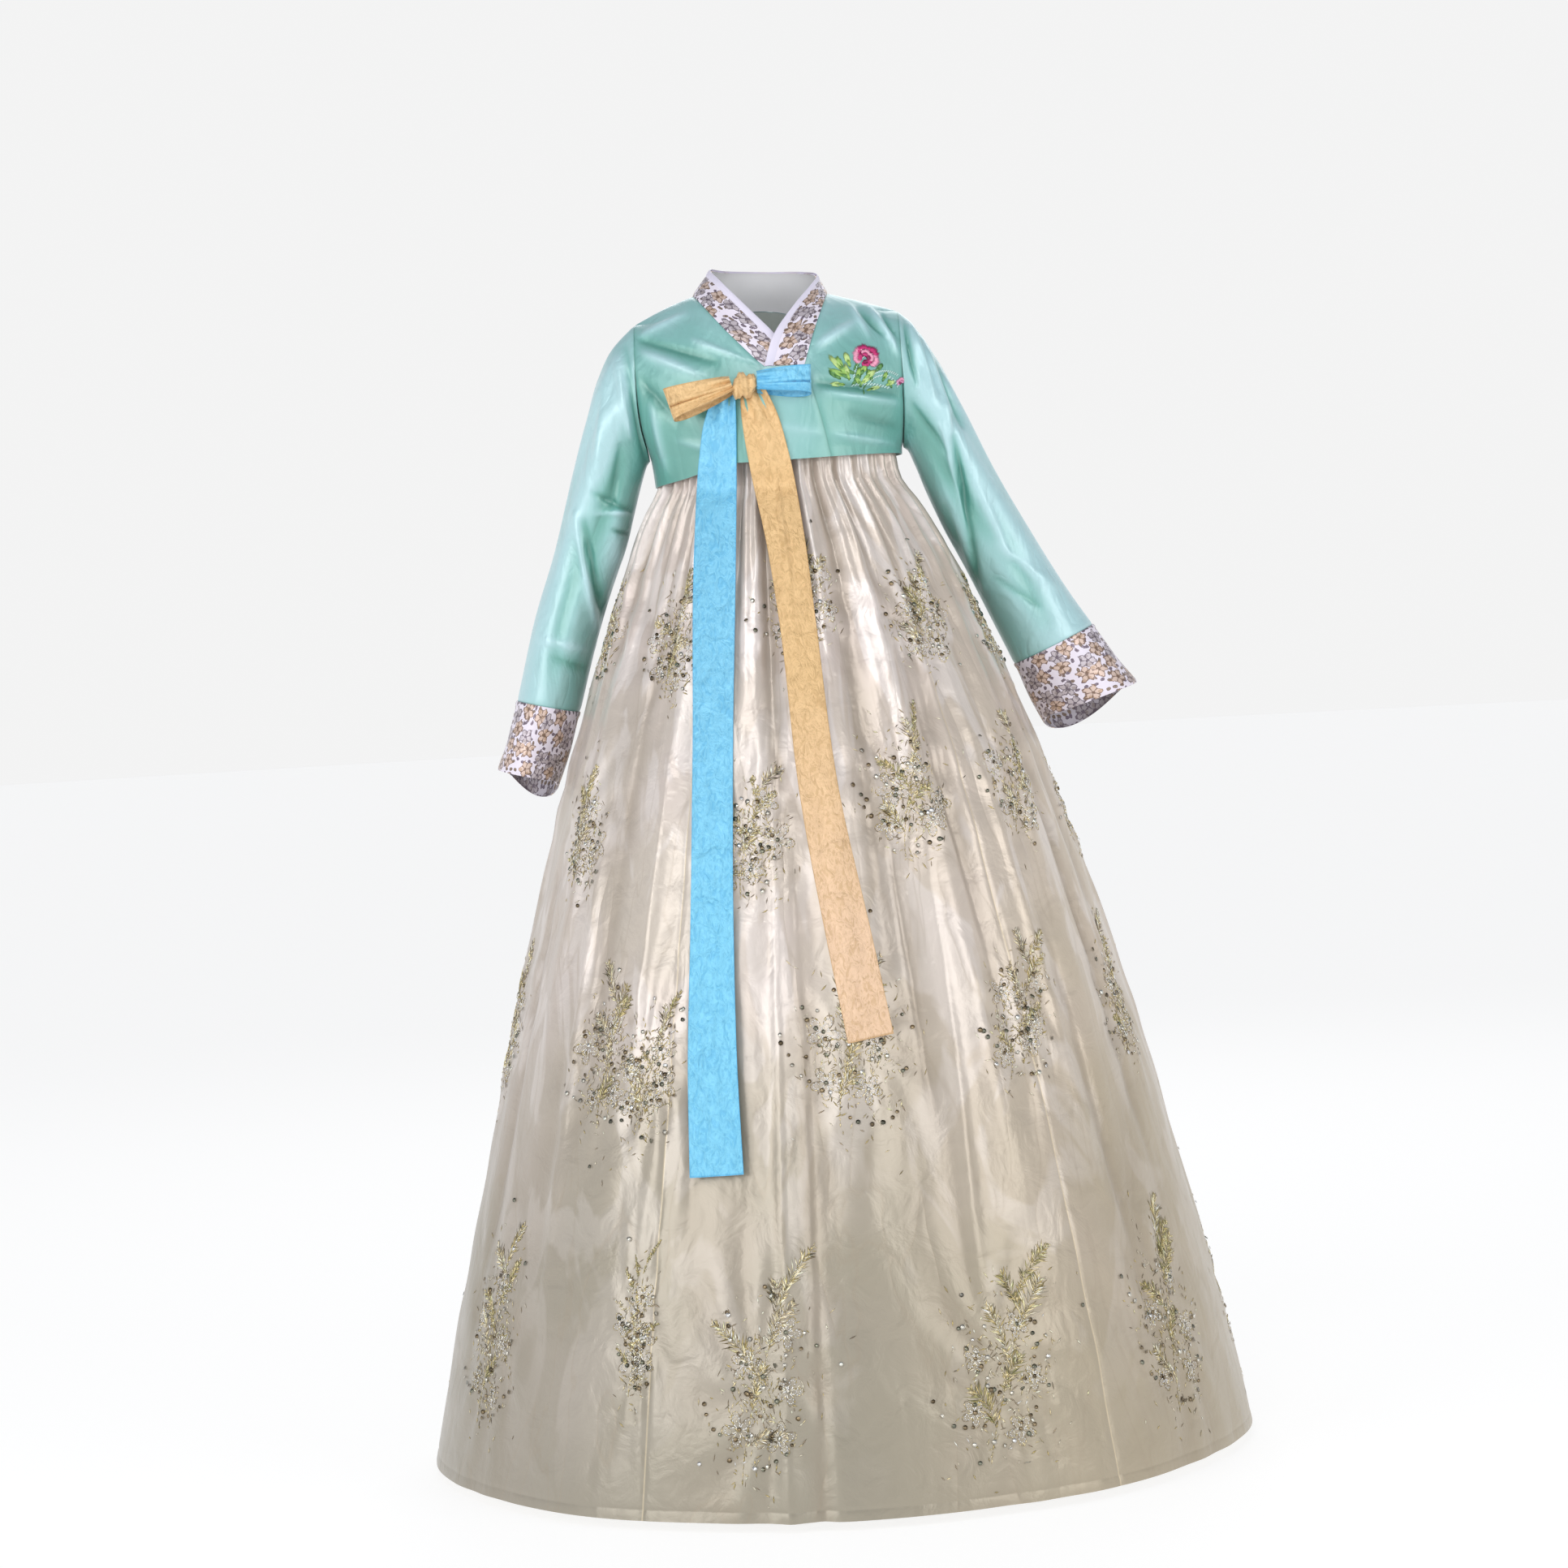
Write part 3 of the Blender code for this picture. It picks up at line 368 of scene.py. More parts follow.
def drawn_out(made, place, scales):
    """A place times a scale in each direction: a pattern on it is drawn out where the scale is small."""
    return node(made, "ShaderNodeVectorMath", {0: place, 1: scales}, operation="MULTIPLY")


def noise_of(made, place, scale, detail, distortion=0.0, roughness=0.5):
    """Soft noise about a half, with grains one over the scale wide and finer ones on them."""
    return node(made, "ShaderNodeTexNoise", {"Vector": place, "Scale": scale, "Detail": detail,
                                             "Distortion": distortion, "Roughness": roughness})


def folded_of(made, noise):
    """Noise folded at its middle, its distance from a half, so that it has long sharp valleys."""
    return math_of(made, "ABSOLUTE", math_of(made, "SUBTRACT", noise, 0.5))


def between(made, value, low, high, first, last):
    """Goes evenly from first to last while the value goes from low to high, and stays there beyond."""
    return node(made, "ShaderNodeMapRange", {0: value, 1: low, 2: high, 3: first, 4: last})


def ramp_of(made, value, stops):
    """Colours along a value; stops are (place, colour)."""
    out = node(made, "ShaderNodeValToRGB", {0: value})
    elements = out.node.color_ramp.elements
    while len(elements) < len(stops):
        elements.new(0.5)
    for element, (place, colour) in zip(elements, stops):
        element.position = place
        element.color = (*colour, 1)
    return out


def mix_of(made, share, first, second):
    """The first colour where the share is 0 and the second where it is 1."""
    reads = {0: share}
    for socket, colour in ((6, first), (7, second)):
        reads[socket] = colour if isinstance(colour, bpy.types.NodeSocket) else (*colour, 1)
    return node(made, "ShaderNodeMix", reads, out=2, data_type="RGBA")


def wire(made, socket, source):
    made.node_tree.links.new(source, made.node_tree.nodes["Principled BSDF"].inputs[socket])


def relief(made, heights):
    """Chains bumps, each (height, strength, metres), and gives the last normal to the shader."""
    normal = None
    for height, strength, metres in heights:
        reads = {"Height": height, "Strength": strength, "Distance": metres}
        if normal is not None:
            reads["Normal"] = normal
        normal = node(made, "ShaderNodeBump", reads)
    wire(made, "Normal", normal)


def skirt_satin():
    """Champagne satin: painted shade that greys the tone towards the hem, clouds of a pinker tone and crisp
    pale blotches of painted highlight higher up, a warmer tone on the wearer's left and painted shade on the
    right, painted shade in the troughs, long thin creases from folded noise with painted shade along them,
    small dents, a fine weave, and a pale thread colour along the seams."""
    made = new_finish("skirt satin", 0.34, {"Metallic": 0.26, "Sheen Weight": 0.15, "Sheen Roughness": 0.4,
                                            "Specular IOR Level": 0.6})
    place = place_of(made)
    clouds = noise_of(made, place, 4.0, 3.0)
    height = node(made, "ShaderNodeSeparateXYZ", {0: place}, out=2)
    wavy = math_of(made, "ADD", height, times(made, clouds, 0.30))
    # painted shade: the ramp greys the tone towards the hem, where the satin reflects less light
    painted_light_level = between(made, wavy, -1.24, 0.0, 0.0, 1.0)
    tone = ramp_of(made, painted_light_level, [(0.05, (0.345, 0.310, 0.242)), (0.22, (0.380, 0.338, 0.264)),
                                 (0.36, (0.475, 0.418, 0.342)), (0.55, (0.65, 0.575, 0.50)),
                                 (0.95, (0.63, 0.55, 0.495))])
    pink = between(made, clouds, 0.45, 0.70, 0.0, 0.75)
    tone = mix_of(made, times(made, pink, painted_light_level), tone, (0.72, 0.61, 0.60))
    side = node(made, "ShaderNodeSeparateXYZ", {0: place}, out=0)
    warm = between(made, side, 0.02, 0.34, 0.0, 0.45)
    tone = mix_of(made, warm, tone, (0.52, 0.42, 0.28))
    # painted shade: the tone greys towards the wearer's right side
    painted_side_shade = between(made, side, -0.44, -0.12, 0.55, 0.0)
    tone = mix_of(made, painted_side_shade, tone, (0.33, 0.295, 0.245))
    spread = place_of(made, "UV")
    flat = drawn_out(made, spread, (1.0, 0.45, 0))
    # painted highlight: crisp pale blotches higher up stand in for the satin's reflections
    painted_highlight_patches = noise_of(made, flat, 11.0, 3.0, 1.4)
    pale = between(made, painted_highlight_patches, 0.50, 0.56, 0.0, 0.58)
    tone = mix_of(made, times(made, pale, painted_light_level), tone, (0.88, 0.82, 0.80))
    rise = measure_of(made, "rise")
    # painted shade: the tone darkens in the troughs of the gathers and folds
    painted_trough_shade = between(made, rise, -0.0090, 0.0000, 0.66, 0.0)
    tone = mix_of(made, painted_trough_shade, tone, (0.33, 0.27, 0.205))
    near = measure_of(made, "seam")
    line = between(made, near, 0.0004, 0.0014, 0.50, 0.0)
    tone = mix_of(made, line, tone, (0.74, 0.62, 0.42))
    drawn = drawn_out(made, spread, (1.0, 0.22, 0))
    long_noise = noise_of(made, drawn, 13.0, 3.0, 0.5)
    creased = folded_of(made, long_noise)
    # painted shade: a darker tone along the thin creases
    thin = between(made, creased, 0.0, 0.016, 0.22, 0.0)
    wire(made, "Base Color", mix_of(made, thin, tone, (0.36, 0.29, 0.21)))
    dents = noise_of(made, place, 24.0, 4.0, 0.6)
    weave = noise_of(made, place, 900.0, 1.0)
    relief(made, [(creased, 0.50, 0.010), (dents, 0.44, 0.006), (weave, 0.10, 0.0004)])
    return made


def plain_lining(name, colour, roughness=0.6):
    """Plain woven lining: slightly clouded colour and a fine even weave."""
    made = new_finish(name, roughness, {"Sheen Weight": 0.1})
    place = place_of(made)
    clouds = noise_of(made, place, 12.0, 3.0)
    darker = tuple(value * 0.9 for value in colour)
    wire(made, "Base Color", ramp_of(made, clouds, [(0.3, darker), (0.7, colour)]))
    weave = noise_of(made, place, 700.0, 1.0)
    relief(made, [(weave, 0.2, 0.0004)])
    return made


SKIRT_SATIN = skirt_satin()
SKIRT_LINING = plain_lining("skirt lining", (0.72, 0.68, 0.60))
skirt_panels = {}
for name, start, end in zip(PANEL_NAMES, SEAM_ANGLES, SEAM_ANGLES[1:] + (SEAM_ANGLES[0] + 360,)):
    rows, columns = FINE_GRID if name == "front" else GRID
    height = np.concatenate([HEM_ROWS, np.linspace(0.026, PANEL_TOP, rows)])[:, None]
    share = np.linspace(0.018, 0.982, columns)
    share = np.concatenate([SEAM_COLUMNS, share, 1 - SEAM_COLUMNS[::-1]])[None, :]
    angle = np.radians(start + (end - start) * share) + 0 * height
    height = height + 0 * share
    outer = skirt_surface(angle, height)
    away = np.minimum(share, 1 - share) * math.radians(end - start) * read_table(SKIRT_SECTIONS, height)[0]
    normals = facing(outer)
    sewn = PANEL_SEAM_DIP[0] * np.exp(-(away / PANEL_SEAM_DIP[1]) ** 2)
    stitched = TURN_UP_DIP[0] * np.exp(-((height - TURN_UP) / TURN_UP_DIP[1]) ** 2)
    outer = outer - normals * (sewn + stitched)[..., None]
    uv = np.stack([angle * SKIRT_UV, height], -1)
    panel = cloth("panel_" + name, outer, normals, SKIRT_CLOTH, uv, SKIRT_SATIN, SKIRT_LINING, seam=away,
                  rise=skirt_ease(angle, height))
    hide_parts("skirt_panel_" + name)
    skirt_panels[name] = (panel, cut_of(outer), area_of(outer))

# Chest band. A straight strip of white cotton that the gathered panels are sewn into. It closes round the
# chest under the jacket, so it only shows through the neck and from below.

BAND_CLOTH = 0.0020
BAND_HEIGHTS = (1.236, 1.300)
BAND_TAPER = 0.35         # how much narrower the band gets, in shares for each metre of height
BAND_UV = 0.125           # metres of UV for each radian round the chest
turn = np.linspace(0, 2 * math.pi, 97)[None, :]
height = np.linspace(*BAND_HEIGHTS, 9)[:, None]
half_width, half_depth, shift = read_table(SKIRT_SECTIONS, BAND_HEIGHTS[0])
taper = 1 - BAND_TAPER * (height - BAND_HEIGHTS[0])
band = np.stack([shift + half_width * taper * np.sin(turn), -half_depth * taper * np.cos(turn),
                 height - SHOULDER_HEIGHT + 0 * turn], -1)
BAND_COTTON = plain_lining("band cotton", (0.80, 0.79, 0.76), 0.8)
uv = np.stack([turn * BAND_UV + 0 * height, height + 0 * turn], -1)
band = band[:, :-1]
chest_band = cloth("chest_band", band, facing(band, True), BAND_CLOTH, uv, BAND_COTTON, BAND_COTTON, True)
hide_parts("skirt_chest_band")

# Flower sprays. Couched metal thread in olive and pale gold draws stems and feathered leaves, silver thread
# fills the petals, and cupped bronze sequins follow the curls. They are sewn on before the panels are joined.

THREAD_WIDTH, THREAD_RISE, THREAD_LIFT = 0.0014, 0.0006, 0.0003
PLUMES = (  # point of the stem, side, length as a share of the spray's height
    (24, 1, 0.24), (22, -1, 0.20), (18, 1, 0.26), (14, -1, 0.26), (10, 1, 0.20), (5, -1, 0.18))
FLOWERS = (  # place of the middle, as shares of the spray's width and height
    (0.10, 0.16), (-0.19, 0.04), (0.20, -0.06), (0.10, -0.24), (-0.18, -0.22))
SEQUIN_CURLS = (  # side, point of the stem, heading, bend
    (-1, 6, 1.7, -1.2), (1, 9, 1.5, -1.3), (-1, 14, 1.2, -0.9), (1, 3, 2.2, -1.5))
STEM_POINTS, TANGLE_STITCHES, LOOSE_SEQUINS = 26, 340, 24
SEQUIN_LIFT = 0.0011
SEQUIN_SIZES = (0.0021, 0.0031)   # least and largest radius
SEQUIN_SHARES = (0.36, 0.26, 0.38)   # of bronze, grey green and bright ones
OLIVE, GOLD, MOSS = (0.50, 0.40, 0.17), (0.82, 0.70, 0.43), (0.42, 0.39, 0.18)
SILVER, SHADE, CREAM = (0.99, 0.98, 0.96), (0.36, 0.29, 0.20), (0.92, 0.85, 0.68)
BRONZE, GREY_GREEN, BRIGHT = (0.30, 0.23, 0.14), (0.26, 0.26, 0.20), (0.92, 0.88, 0.78)


def heading(way):
    """Unit steps in the flat for headings turned from upright."""
    return np.stack([np.sin(way), np.cos(way)], -1)


def curl(start, way, long, bend, count):
    """Places along a curl in the flat: equal steps whose heading turns evenly from the way by the bend."""
    return start + np.cumsum(heading(way + bend * np.linspace(0, 1, count)), 0) * long / count


def plume(rng, start, way, long, bend, wide):
    """A feathery plume: a curl as spine, and stitches that leave random places of it to both sides, longest
    in the middle as a half sine, each a little turned at random."""
    count = int(long / 0.00075)
    spine = curl(start, way, long, bend, 30)
    share = rng.uniform(0.05, 1, count)
    at = spine[(share * 29).astype(int)]
    side = np.where(rng.random(count) < 0.5, -1, 1)
    turn = way + bend * share + side * rng.uniform(0.35, 1.0, count)
    size = wide * (0.30 + 0.70 * np.sin(math.pi * share)) * rng.uniform(0.4, 1.2, count)
    first = np.concatenate([spine[:-1], at + rng.normal(0, 0.0008, at.shape)])
    return first, np.concatenate([spine[1:], at + heading(turn) * size[:, None]])


def petals(middle, radius, count, start):
    """A flower in the flat: each petal is a loop of seven threads, whose reach from the middle is a fifth and
    four fifths of a half sine of the turn across the petal."""
    share = np.linspace(0, 1, 8)[None, :]
    turn = start + (2 * math.pi / count) * (np.arange(count)[:, None] + 0.92 * (share - 0.5))
    reach = radius * (0.2 + 0.8 * np.sin(math.pi * share) ** 0.7)
    loop = middle + heading(turn) * reach[..., None]
    return loop[:, :-1].reshape(-1, 2), loop[:, 1:].reshape(-1, 2)


def spray_of(rng, tall, wide, lean):
    """One spray in the flat: plumes that rise from a bent stem, a tangle of stitches round its middle, flowers
    outlined in silver, and sequins in loose curls and strewn between."""
    firsts, lasts, dyes = [], [], []

    def sew(pair, *shades, stray=0.16):
        firsts.append(pair[0])
        lasts.append(pair[1])
        tint = np.array(shades)[rng.integers(len(shades), size=len(pair[0]))]
        dyes.append(np.clip(tint * (1 + stray * rng.standard_normal((len(tint), 1))), 0.01, 1))

    share = np.linspace(-0.40, 0.30, STEM_POINTS)
    bow = 0.10 * wide * np.sin(4 * share + rng.uniform(-0.6, 0.6))
    stem = np.stack([lean * tall * share + bow, tall * share], -1)
    sew((stem[:-1], stem[1:]), OLIVE, GOLD)
    for at, side, long in PLUMES:
        side = side * np.sign(rng.normal() + 1.2)
        way = lean + side * rng.uniform(0.05, 0.60) * (1.6 - at / STEM_POINTS)
        plumes = plume(rng, stem[at], way, tall * long * rng.uniform(0.75, 1.15), side * rng.uniform(0.1, 0.8),
                       wide * rng.uniform(0.08, 0.14))
        shades = ((OLIVE, GOLD, CREAM), (OLIVE, MOSS, GOLD), (GOLD, CREAM, SHADE))[rng.integers(3)]
        sew(plumes, *shades, stray=0.25)
    tangle = rng.normal(0, 1, (TANGLE_STITCHES, 2)) * np.array([wide * 0.17, tall * 0.18])
    tangle = tangle + np.array([0, -0.06 * tall])
    tangle[:, 0] += lean * tangle[:, 1]
    size = rng.uniform(0.004, 0.010, (TANGLE_STITCHES, 1))
    ahead = heading(rng.uniform(-1.3, 1.3, TANGLE_STITCHES) + lean)
    sew((tangle, tangle + ahead * size), GOLD, CREAM, OLIVE, SHADE, stray=0.25)
    discs = []
    for right, up in FLOWERS:
        middle = np.array([right * wide + lean * up * tall, up * tall]) + rng.uniform(-0.010, 0.010, 2)
        radius, start = rng.uniform(0.014, 0.022), rng.uniform(0, 1)
        sew(petals(middle, radius, 5, start), SHADE, OLIVE, GOLD, stray=0.12)
        sew(petals(middle, radius * 0.80, 5, start), SILVER, stray=0.04)
        sew(petals(middle, radius * 0.52, 5, start), SILVER, CREAM, stray=0.06)
        discs.append(middle[None] + 0.003 * np.array([[0, 0.3]]))
    for side, at, way, bend in SEQUIN_CURLS:
        long = wide * rng.uniform(0.36, 0.58)
        way = side * (way + rng.uniform(-0.4, 0.4))
        curve = curl(stem[at], way, long, side * bend, max(int(long / 0.0125), 3))
        discs.append(curve + rng.normal(0, 0.0018, curve.shape))
    loose = rng.normal(0, 1, (LOOSE_SEQUINS, 2)) * np.array([wide * 0.20, tall * 0.20])
    loose[:, 0] += lean * loose[:, 1]
    discs.append(loose)
    return np.concatenate(firsts), np.concatenate(lasts), np.concatenate(dyes), np.concatenate(discs)


def on_skirt(spray, flat, lift):
    """Lays flat places round a spray's middle onto the skirt, lifted off it; gives places and normals."""
    height = spray[1] + flat[..., 1]
    angle = math.radians(spray[0]) + flat[..., 0] / read_table(SKIRT_SECTIONS, height)[0]
    height = np.clip(height, 0.016, 1.2)
    step = 0.002
    point = skirt_surface(angle, height)
    along = skirt_surface(angle + step, height) - skirt_surface(angle - step, height)
    up = skirt_surface(angle, height + step) - skirt_surface(angle, height - step)
    normal = unit(np.cross(along, up))
    return point + normal * lift, normal


def dyed_mesh(name, points, faces, dye, finish):
    """Many small shapes in one mesh, a row of points each, and each shape in its own dye."""
    piece = mesh_from(name, points.reshape(-1, 3), faces)
    count = points.shape[1]
    colours = np.concatenate([np.repeat(dye, count, 0), np.ones((len(points) * count, 1))], 1)
    layer = piece.data.color_attributes.new("dye", "FLOAT_COLOR", "POINT")
    layer.data.foreach_set("color", colours.astype(np.float32).ravel())
    piece.data.materials.append(finish)
    return piece


def thread_mesh(name, first, middle, last, normal, width, rise, dye, finish):
    """Threads as long lozenges: two ends, two sides half a width off the middle and a crown above it, six
    faces each; dye gives each its colour."""
    ahead = unit(last - first)
    side = unit(np.cross(ahead, normal)) * np.reshape(width, (-1, 1)) / 2
    points = np.stack([first, last, middle + side, middle - side, middle + normal * rise], 1)
    six = np.array([(0, 2, 4), (2, 1, 4), (1, 3, 4), (3, 0, 4), (0, 1, 2), (1, 0, 3)])
    faces = (np.arange(len(points))[:, None, None] * 5 + six).reshape(-1, 3)
    return dyed_mesh(name, points, faces, dye, finish)


def disc_mesh(name, centre, normal, radius, dye, finish):
    """Cupped sequins: a ring of eight points round a lower middle, and a point under it; 16 faces each."""
    across = unit(np.cross(normal, np.array([0.3, 0.1, 1.0])))
    beside = np.cross(normal, across)
    turn = np.linspace(0, 2 * math.pi, 8, endpoint=False)[None, :, None]
    spread = across[:, None] * np.cos(turn) + beside[:, None] * np.sin(turn)
    ring = centre[:, None] + radius[:, None, None] * spread + normal[:, None] * 0.0004
    points = np.concatenate([centre[:, None], ring, centre[:, None] - normal[:, None] * 0.0003], 1)
    here = np.arange(8)
    after = (here + 1) % 8
    top = np.stack([0 * here, here + 1, after + 1], -1)
    under = np.stack([0 * here + 9, after + 1, here + 1], -1)
    faces = (np.arange(len(points))[:, None, None] * 10 + np.concatenate([top, under])).reshape(-1, 3)
    return dyed_mesh(name, points, faces, dye, finish)


def dyed_finish(name, roughness, metallic):
    """Thread or sequin finish that takes its colour from the piece's own dye."""
    made = new_finish(name, roughness, {"Metallic": metallic, "Specular IOR Level": 0.6})
    dye = node(made, "ShaderNodeAttribute", {}, attribute_name="dye")
    wire(made, "Base Color", dye)
    place = place_of(made)
    twist = noise_of(made, place, 1500.0, 1.0)
    relief(made, [(twist, 0.3, 0.0003)])
    return made


METAL_THREAD = dyed_finish("metal thread", 0.36, 0.30)
SEQUIN = dyed_finish("sequin", 0.18, 0.85)
sewn_on = {name: ([], []) for name in PANEL_NAMES}
for number, spray in enumerate(SPRAYS):
    rng = np.random.default_rng(40 + number)
    first, last, dye, disc = spray_of(rng, *spray[2:])
    turned = (spray[0] - SEAM_ANGLES[0]) % 360 + SEAM_ANGLES[0]
    owner = PANEL_NAMES[np.searchsorted(SEAM_ANGLES, turned, side="right") - 1]
    start, _ = on_skirt(spray, first, THREAD_LIFT)
    middle, normal = on_skirt(spray, (first + last) / 2, THREAD_LIFT)
    end, _ = on_skirt(spray, last, THREAD_LIFT)
    width = THREAD_WIDTH * rng.uniform(0.8, 1.35, len(first))
    sewn_on[owner][0].append((start, middle, end, normal, width, dye))
    centre, normal = on_skirt(spray, disc, SEQUIN_LIFT)
    normal = unit(normal + 0.22 * rng.standard_normal(normal.shape))
    radius = rng.uniform(*SEQUIN_SIZES, len(disc))
    shade = np.array([BRONZE, GREY_GREEN, BRIGHT])[rng.choice(3, len(disc), p=SEQUIN_SHARES)]
    shade = np.clip(shade * (1 + 0.25 * rng.standard_normal((len(disc), 1))), 0.02, 1)
    sewn_on[owner][1].append((centre, normal, radius, shade))
for name, (threads, discs) in sewn_on.items():
    start, middle, end, normal, width, dye = (np.concatenate(part) for part in zip(*threads))
    sprays = thread_mesh("sprays_" + name, start, middle, end, normal, width, THREAD_RISE, dye, METAL_THREAD)
    centre, normal, radius, shade = (np.concatenate(part) for part in zip(*discs))
    sequins = disc_mesh("sequins_" + name, centre, normal, radius, shade, SEQUIN)
    panel, cut, area = skirt_panels[name]

# Jacket body. Two backs, the under front and the outer front of lined mint satin, cut wide and flat and
# joined along the shoulders, with the overlap panel sewn to the outer front. It just reaches over the bust.

JACKET_CLOTH = 0.0014
LAYER_LIFT = 0.0060       # how far the outer front lies over the under front
FRONT, BACK, LEFT, RIGHT = -1, 1, 1, -1
RIDGE = (  # across the shoulders to the wearer's left, height of the shoulder ridge
    (-0.168, 1.3780),
    (-0.130, 1.3960),
    (-0.095, 1.4090),
    (-0.050, 1.4220),
    (0.000, 1.4280),
    (0.040, 1.4150),
    (0.072, 1.4040),
    (0.110, 1.3930),
    (0.156, 1.3780),
)
ARMHOLE_LINE = (  # height, distance of the armhole seam to the wearer's right and left of the middle
    (1.170, 0.1525, 0.1520),
    (1.212, 0.1570, 0.1535),
    (1.250, 0.1645, 0.1555),
    (1.300, 0.1680, 0.1560),
    (1.378, 0.1680, 0.1560),
)
UNDERARM, SHOULDER_TIP, ARMHOLE_HALF_DEPTH = 1.212, 1.378, 0.062
DOME_START = {FRONT: 1.240, BACK: 1.220}
DOME_DEPTH = {FRONT: 0.127, BACK: 0.125}
OUTER_HEM = ((-0.17, 1.1990), (0.00, 1.1985), (0.17, 1.2040))
UNDER_HEM = ((-0.17, 1.1750), (-0.11, 1.1850), (-0.07, 1.1960), (0.00, 1.2040), (0.17, 1.2040))
BACK_HEM = ((-0.17, 1.1750), (-0.08, 1.1900), (0.00, 1.1960), (0.17, 1.2040))
COLLAR_END = 1.3115       # where the collar ends and the overlap panel begins
BODY_PAINTED_LIGHT = 0.0018       # how far the body's painted light and shade turn its tone, as a fold's height that would turn it as far
FREE_EDGE = ((1.190, -0.0850), (1.250, -0.0660), (1.289, -0.0450), (1.312, -0.0095))
PANEL_SEAM = ((1.190, 0.0655), (1.250, 0.0530), (COLLAR_END, 0.0370))
OUTER_NECK = ((COLLAR_END, 0.0370), (1.345, 0.0480), (1.410, 0.0730))
UNDER_NECK = ((1.170, 0.0350), (1.290, 0.0200), (1.308, -0.0055), (1.346, -0.0430), (1.415, -0.0980))
BACK_NECK_HALF = {LEFT: 0.0707, RIGHT: 0.0925}
BACK_NECK_DROP = 0.036
ARMHOLE_SHARE = 0.25      # share of a panel's rows that lie below the start of its dome
JACKET_SEAM_DIP = 0.0009  # how far a seam's stitches draw the satin in
FRONT_CREASES = (  # X and height of both ends, width, height of the ridge or, below 0, of the trough
    (-0.168, 1.360, -0.072, 1.322, 0.0076, -0.0054),
    (-0.160, 1.342, -0.085, 1.305, 0.0085, 0.0051),
    (-0.095, 1.350, -0.030, 1.318, 0.0059, 0.0044),
    (-0.078, 1.338, -0.015, 1.310, 0.0043, -0.0022),
    (-0.105, 1.384, -0.160, 1.362, 0.0068, 0.0041),
    (-0.166, 1.310, -0.120, 1.255, 0.0093, -0.0048),
    (-0.150, 1.280, -0.135, 1.195, 0.0076, 0.0048),
    (-0.125, 1.275, -0.060, 1.262, 0.0068, -0.0031),
    (-0.120, 1.230, -0.075, 1.215, 0.0059, 0.0027),
    (0.053, 1.335, 0.100, 1.362, 0.0085, 0.0051),
    (0.110, 1.376, 0.136, 1.345, 0.0051, -0.0054),
    (0.122, 1.380, 0.154, 1.320, 0.0051, 0.0061),
    (0.136, 1.372, 0.155, 1.338, 0.0034, -0.0044),
    (0.098, 1.383, 0.116, 1.346, 0.0059, 0.0041),
    (0.040, 1.291, 0.154, 1.273, 0.0068, -0.0051),
    (0.060, 1.278, 0.150, 1.262, 0.0076, 0.0041),
    (0.090, 1.250, 0.152, 1.232, 0.0085, -0.0034),
    (0.070, 1.226, 0.140, 1.214, 0.0068, 0.0031),
    (0.000, 1.240, 0.060, 1.226, 0.0085, 0.0014),
)
BACK_CREASES = (
    (-0.160, 1.362, -0.080, 1.318, 0.0090, -0.0054),
    (-0.158, 1.335, -0.095, 1.288, 0.0090, 0.0051),
    (-0.155, 1.300, -0.110, 1.235, 0.0099, -0.0044),
    (-0.100, 1.270, -0.020, 1.255, 0.0090, 0.0034),
    (-0.130, 1.225, -0.050, 1.212, 0.0072, -0.0031),
    (0.152, 1.360, 0.078, 1.322, 0.0081, 0.0054),
    (0.150, 1.338, 0.090, 1.296, 0.0081, -0.0051),
    (0.150, 1.300, 0.105, 1.245, 0.0108, 0.0048),
    (0.110, 1.262, 0.030, 1.248, 0.0090, -0.0037),
    (0.140, 1.230, 0.060, 1.216, 0.0072, 0.0031),
    (-0.030, 1.372, -0.045, 1.300, 0.0108, 0.0018),
    (0.035, 1.370, 0.055, 1.305, 0.0108, -0.0018),
)


def creases(table, x, height):
    """Ridges and troughs that lie along straight runs seen from the front: a narrow crest, one over one more
    than the square of the distance to the run, times a half sine from one end to the other."""
    out = np.zeros(np.broadcast(x, height).shape)
    for first_x, first_z, last_x, last_z, width, rise in table:
        run_x, run_z = last_x - first_x, last_z - first_z
        share = ((x - first_x) * run_x + (height - first_z) * run_z) / (run_x ** 2 + run_z ** 2)
        share = np.clip(share, 0, 1)
        distance = np.hypot(x - first_x - run_x * share, height - first_z - run_z * share)
        narrow = 1 / (1 + 1.3 * (distance / width) ** 2) ** 2
        out = out + rise * narrow * np.sin(math.pi * (0.08 + 0.84 * share)) ** 0.7
    return out


def armhole_x(side, height):
    right, left = read_table(ARMHOLE_LINE, height)
    return left if side == LEFT else right


def ridge_height(x):
    return read_table(RIDGE, x)[0]


def body_y(x, height, face, lift=0.0):
    """The body's place along Y: an elliptic dome, deepest at the breast line, that keeps the armhole's oval
    open at its sides."""
    half = np.where(x > 0, armhole_x(LEFT, height), armhole_x(RIGHT, height))
    across = np.abs(x) / half
    rise = np.maximum(height - DOME_START[face], 0) / (ridge_height(x) - DOME_START[face])
    deep = DOME_DEPTH[face] + lift * (1 - across ** 4)
    middle, reach = (SHOULDER_TIP + UNDERARM) / 2, (SHOULDER_TIP - UNDERARM) / 2
    edge = ARMHOLE_HALF_DEPTH ** 2 * np.maximum(1 - ((height - middle) / reach) ** 2, 0)
    square = deep ** 2 * (1 - rise ** 2) * (1 - across ** 2) + edge * across ** 2
    return face * np.sqrt(np.maximum(square, 0))


